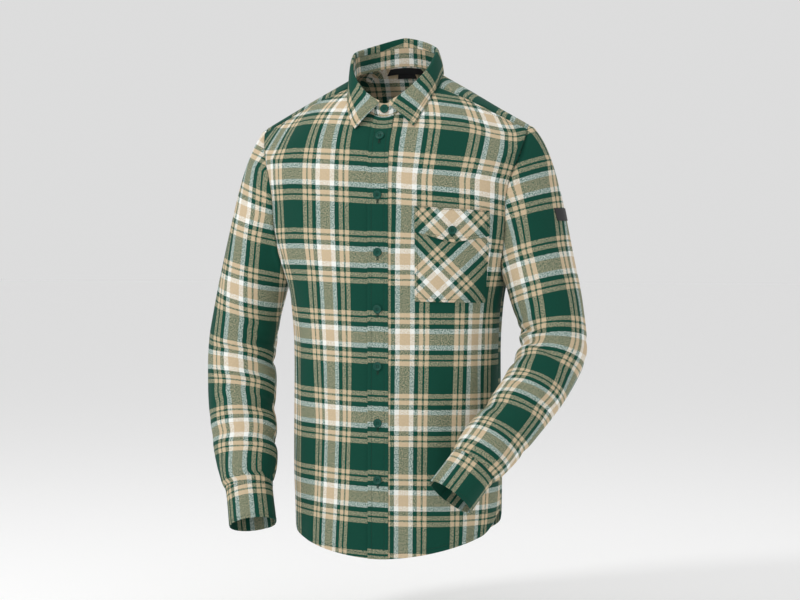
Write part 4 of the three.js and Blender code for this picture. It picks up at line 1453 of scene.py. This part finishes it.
hole_half = 8.5
hole_pitch = 0.62
hole_side = 1.0
hole_drop = 5.0
thread_height = 1.75


def buttonhole(seat, normal):
    """Close stitches across both sides of a slit that starts at the button and runs down."""
    across, up = frame_on(normal)
    rows = np.arange(-hole_half, hole_half + 0.01, hole_pitch)[:, None] - hole_drop
    places = np.concatenate([seat + up * rows + across * hole_side * way for way in (-1, 1)])
    return places, across + 0 * places, normal + 0 * places


holes = [buttonhole(*seats[name]) for name in seats if name.startswith(("front", "pocket"))]
mesh = stitch_mesh("buttonhole_stitches", *joined(holes), half=0.85, radius=0.38)
show("buttonhole_stitches", mesh, thread, "flannel")

threads = []
for seat, outward in seats.values():
    across, up = frame_on(outward)
    for way in (-1, 1):
        place = seat + outward * (button_gap + thread_height) + across * hole_place * way
        threads.append((place[None], up[None], outward[None]))
mesh = stitch_mesh("button_threads", *joined(threads), half=1.8, radius=0.3)
show("button_threads", mesh, thread, "button_plastic")

# %% [markdown]
# ## Camera and light
# The camera stands a little to the wearer's left of the front, with a long lens, as in the photo.
# One soft box lights the shirt from the upper left of the picture, so that the creases show, and a
# pale surround and two weak boxes fill the shadows. The floor is plain white paper.

# %% Camera, light and floor
def look(thing, target):
    """Turns a camera or light at the origin's turn towards a target point."""
    thing.rotation_euler = (Vector(target) - thing.location).to_track_quat("-Z", "Y").to_euler()


camera = bpy.data.objects.new("camera", bpy.data.cameras.new("camera"))
camera.location = (0.9576, -3.5739, -0.256)
camera.data.lens = 100.9
camera.data.sensor_width = 36
look(camera, (0.0048, 0.0013, -0.355))
bpy.context.scene.collection.objects.link(camera)
bpy.context.scene.camera = camera


def soft_light(name, place, target, size, power):
    """A square soft box at a place, aimed at a target."""
    lamp = bpy.data.lights.new(name, "AREA")
    lamp.energy = power
    lamp.size = size
    box = bpy.data.objects.new(name, lamp)
    box.location = place
    look(box, target)
    bpy.context.scene.collection.objects.link(box)


chest = (0.0, 0.0, -0.35)
soft_light("key_light", (-1.9, -2.3, 2.0), chest, 0.6, 44)
soft_light("fill_light", (1.6, -3.0, 0.4), chest, 1.2, 2)
soft_light("top_light", (0.2, 0.6, 2.2), chest, 1.6, 10)

world = bpy.data.worlds.new("pale_studio")
world.use_nodes = True
surround = world.node_tree.nodes["Background"].inputs
surround["Color"].default_value = (1.0, 1.0, 1.0, 1.0)
surround["Strength"].default_value = 0.72
bpy.context.scene.world = world
bpy.context.scene.view_settings.view_transform = "Standard"

bpy.ops.mesh.primitive_plane_add(size=60, location=(0, 0, -0.9))
floor = bpy.context.object
floor.name = "studio_floor"
paper, paper_tree = new_material("matte_white_paper")
surface(paper_tree, {"Base Color": linear("#FFFFFF"), "Roughness": 0.9})
floor.data.materials.append(paper)
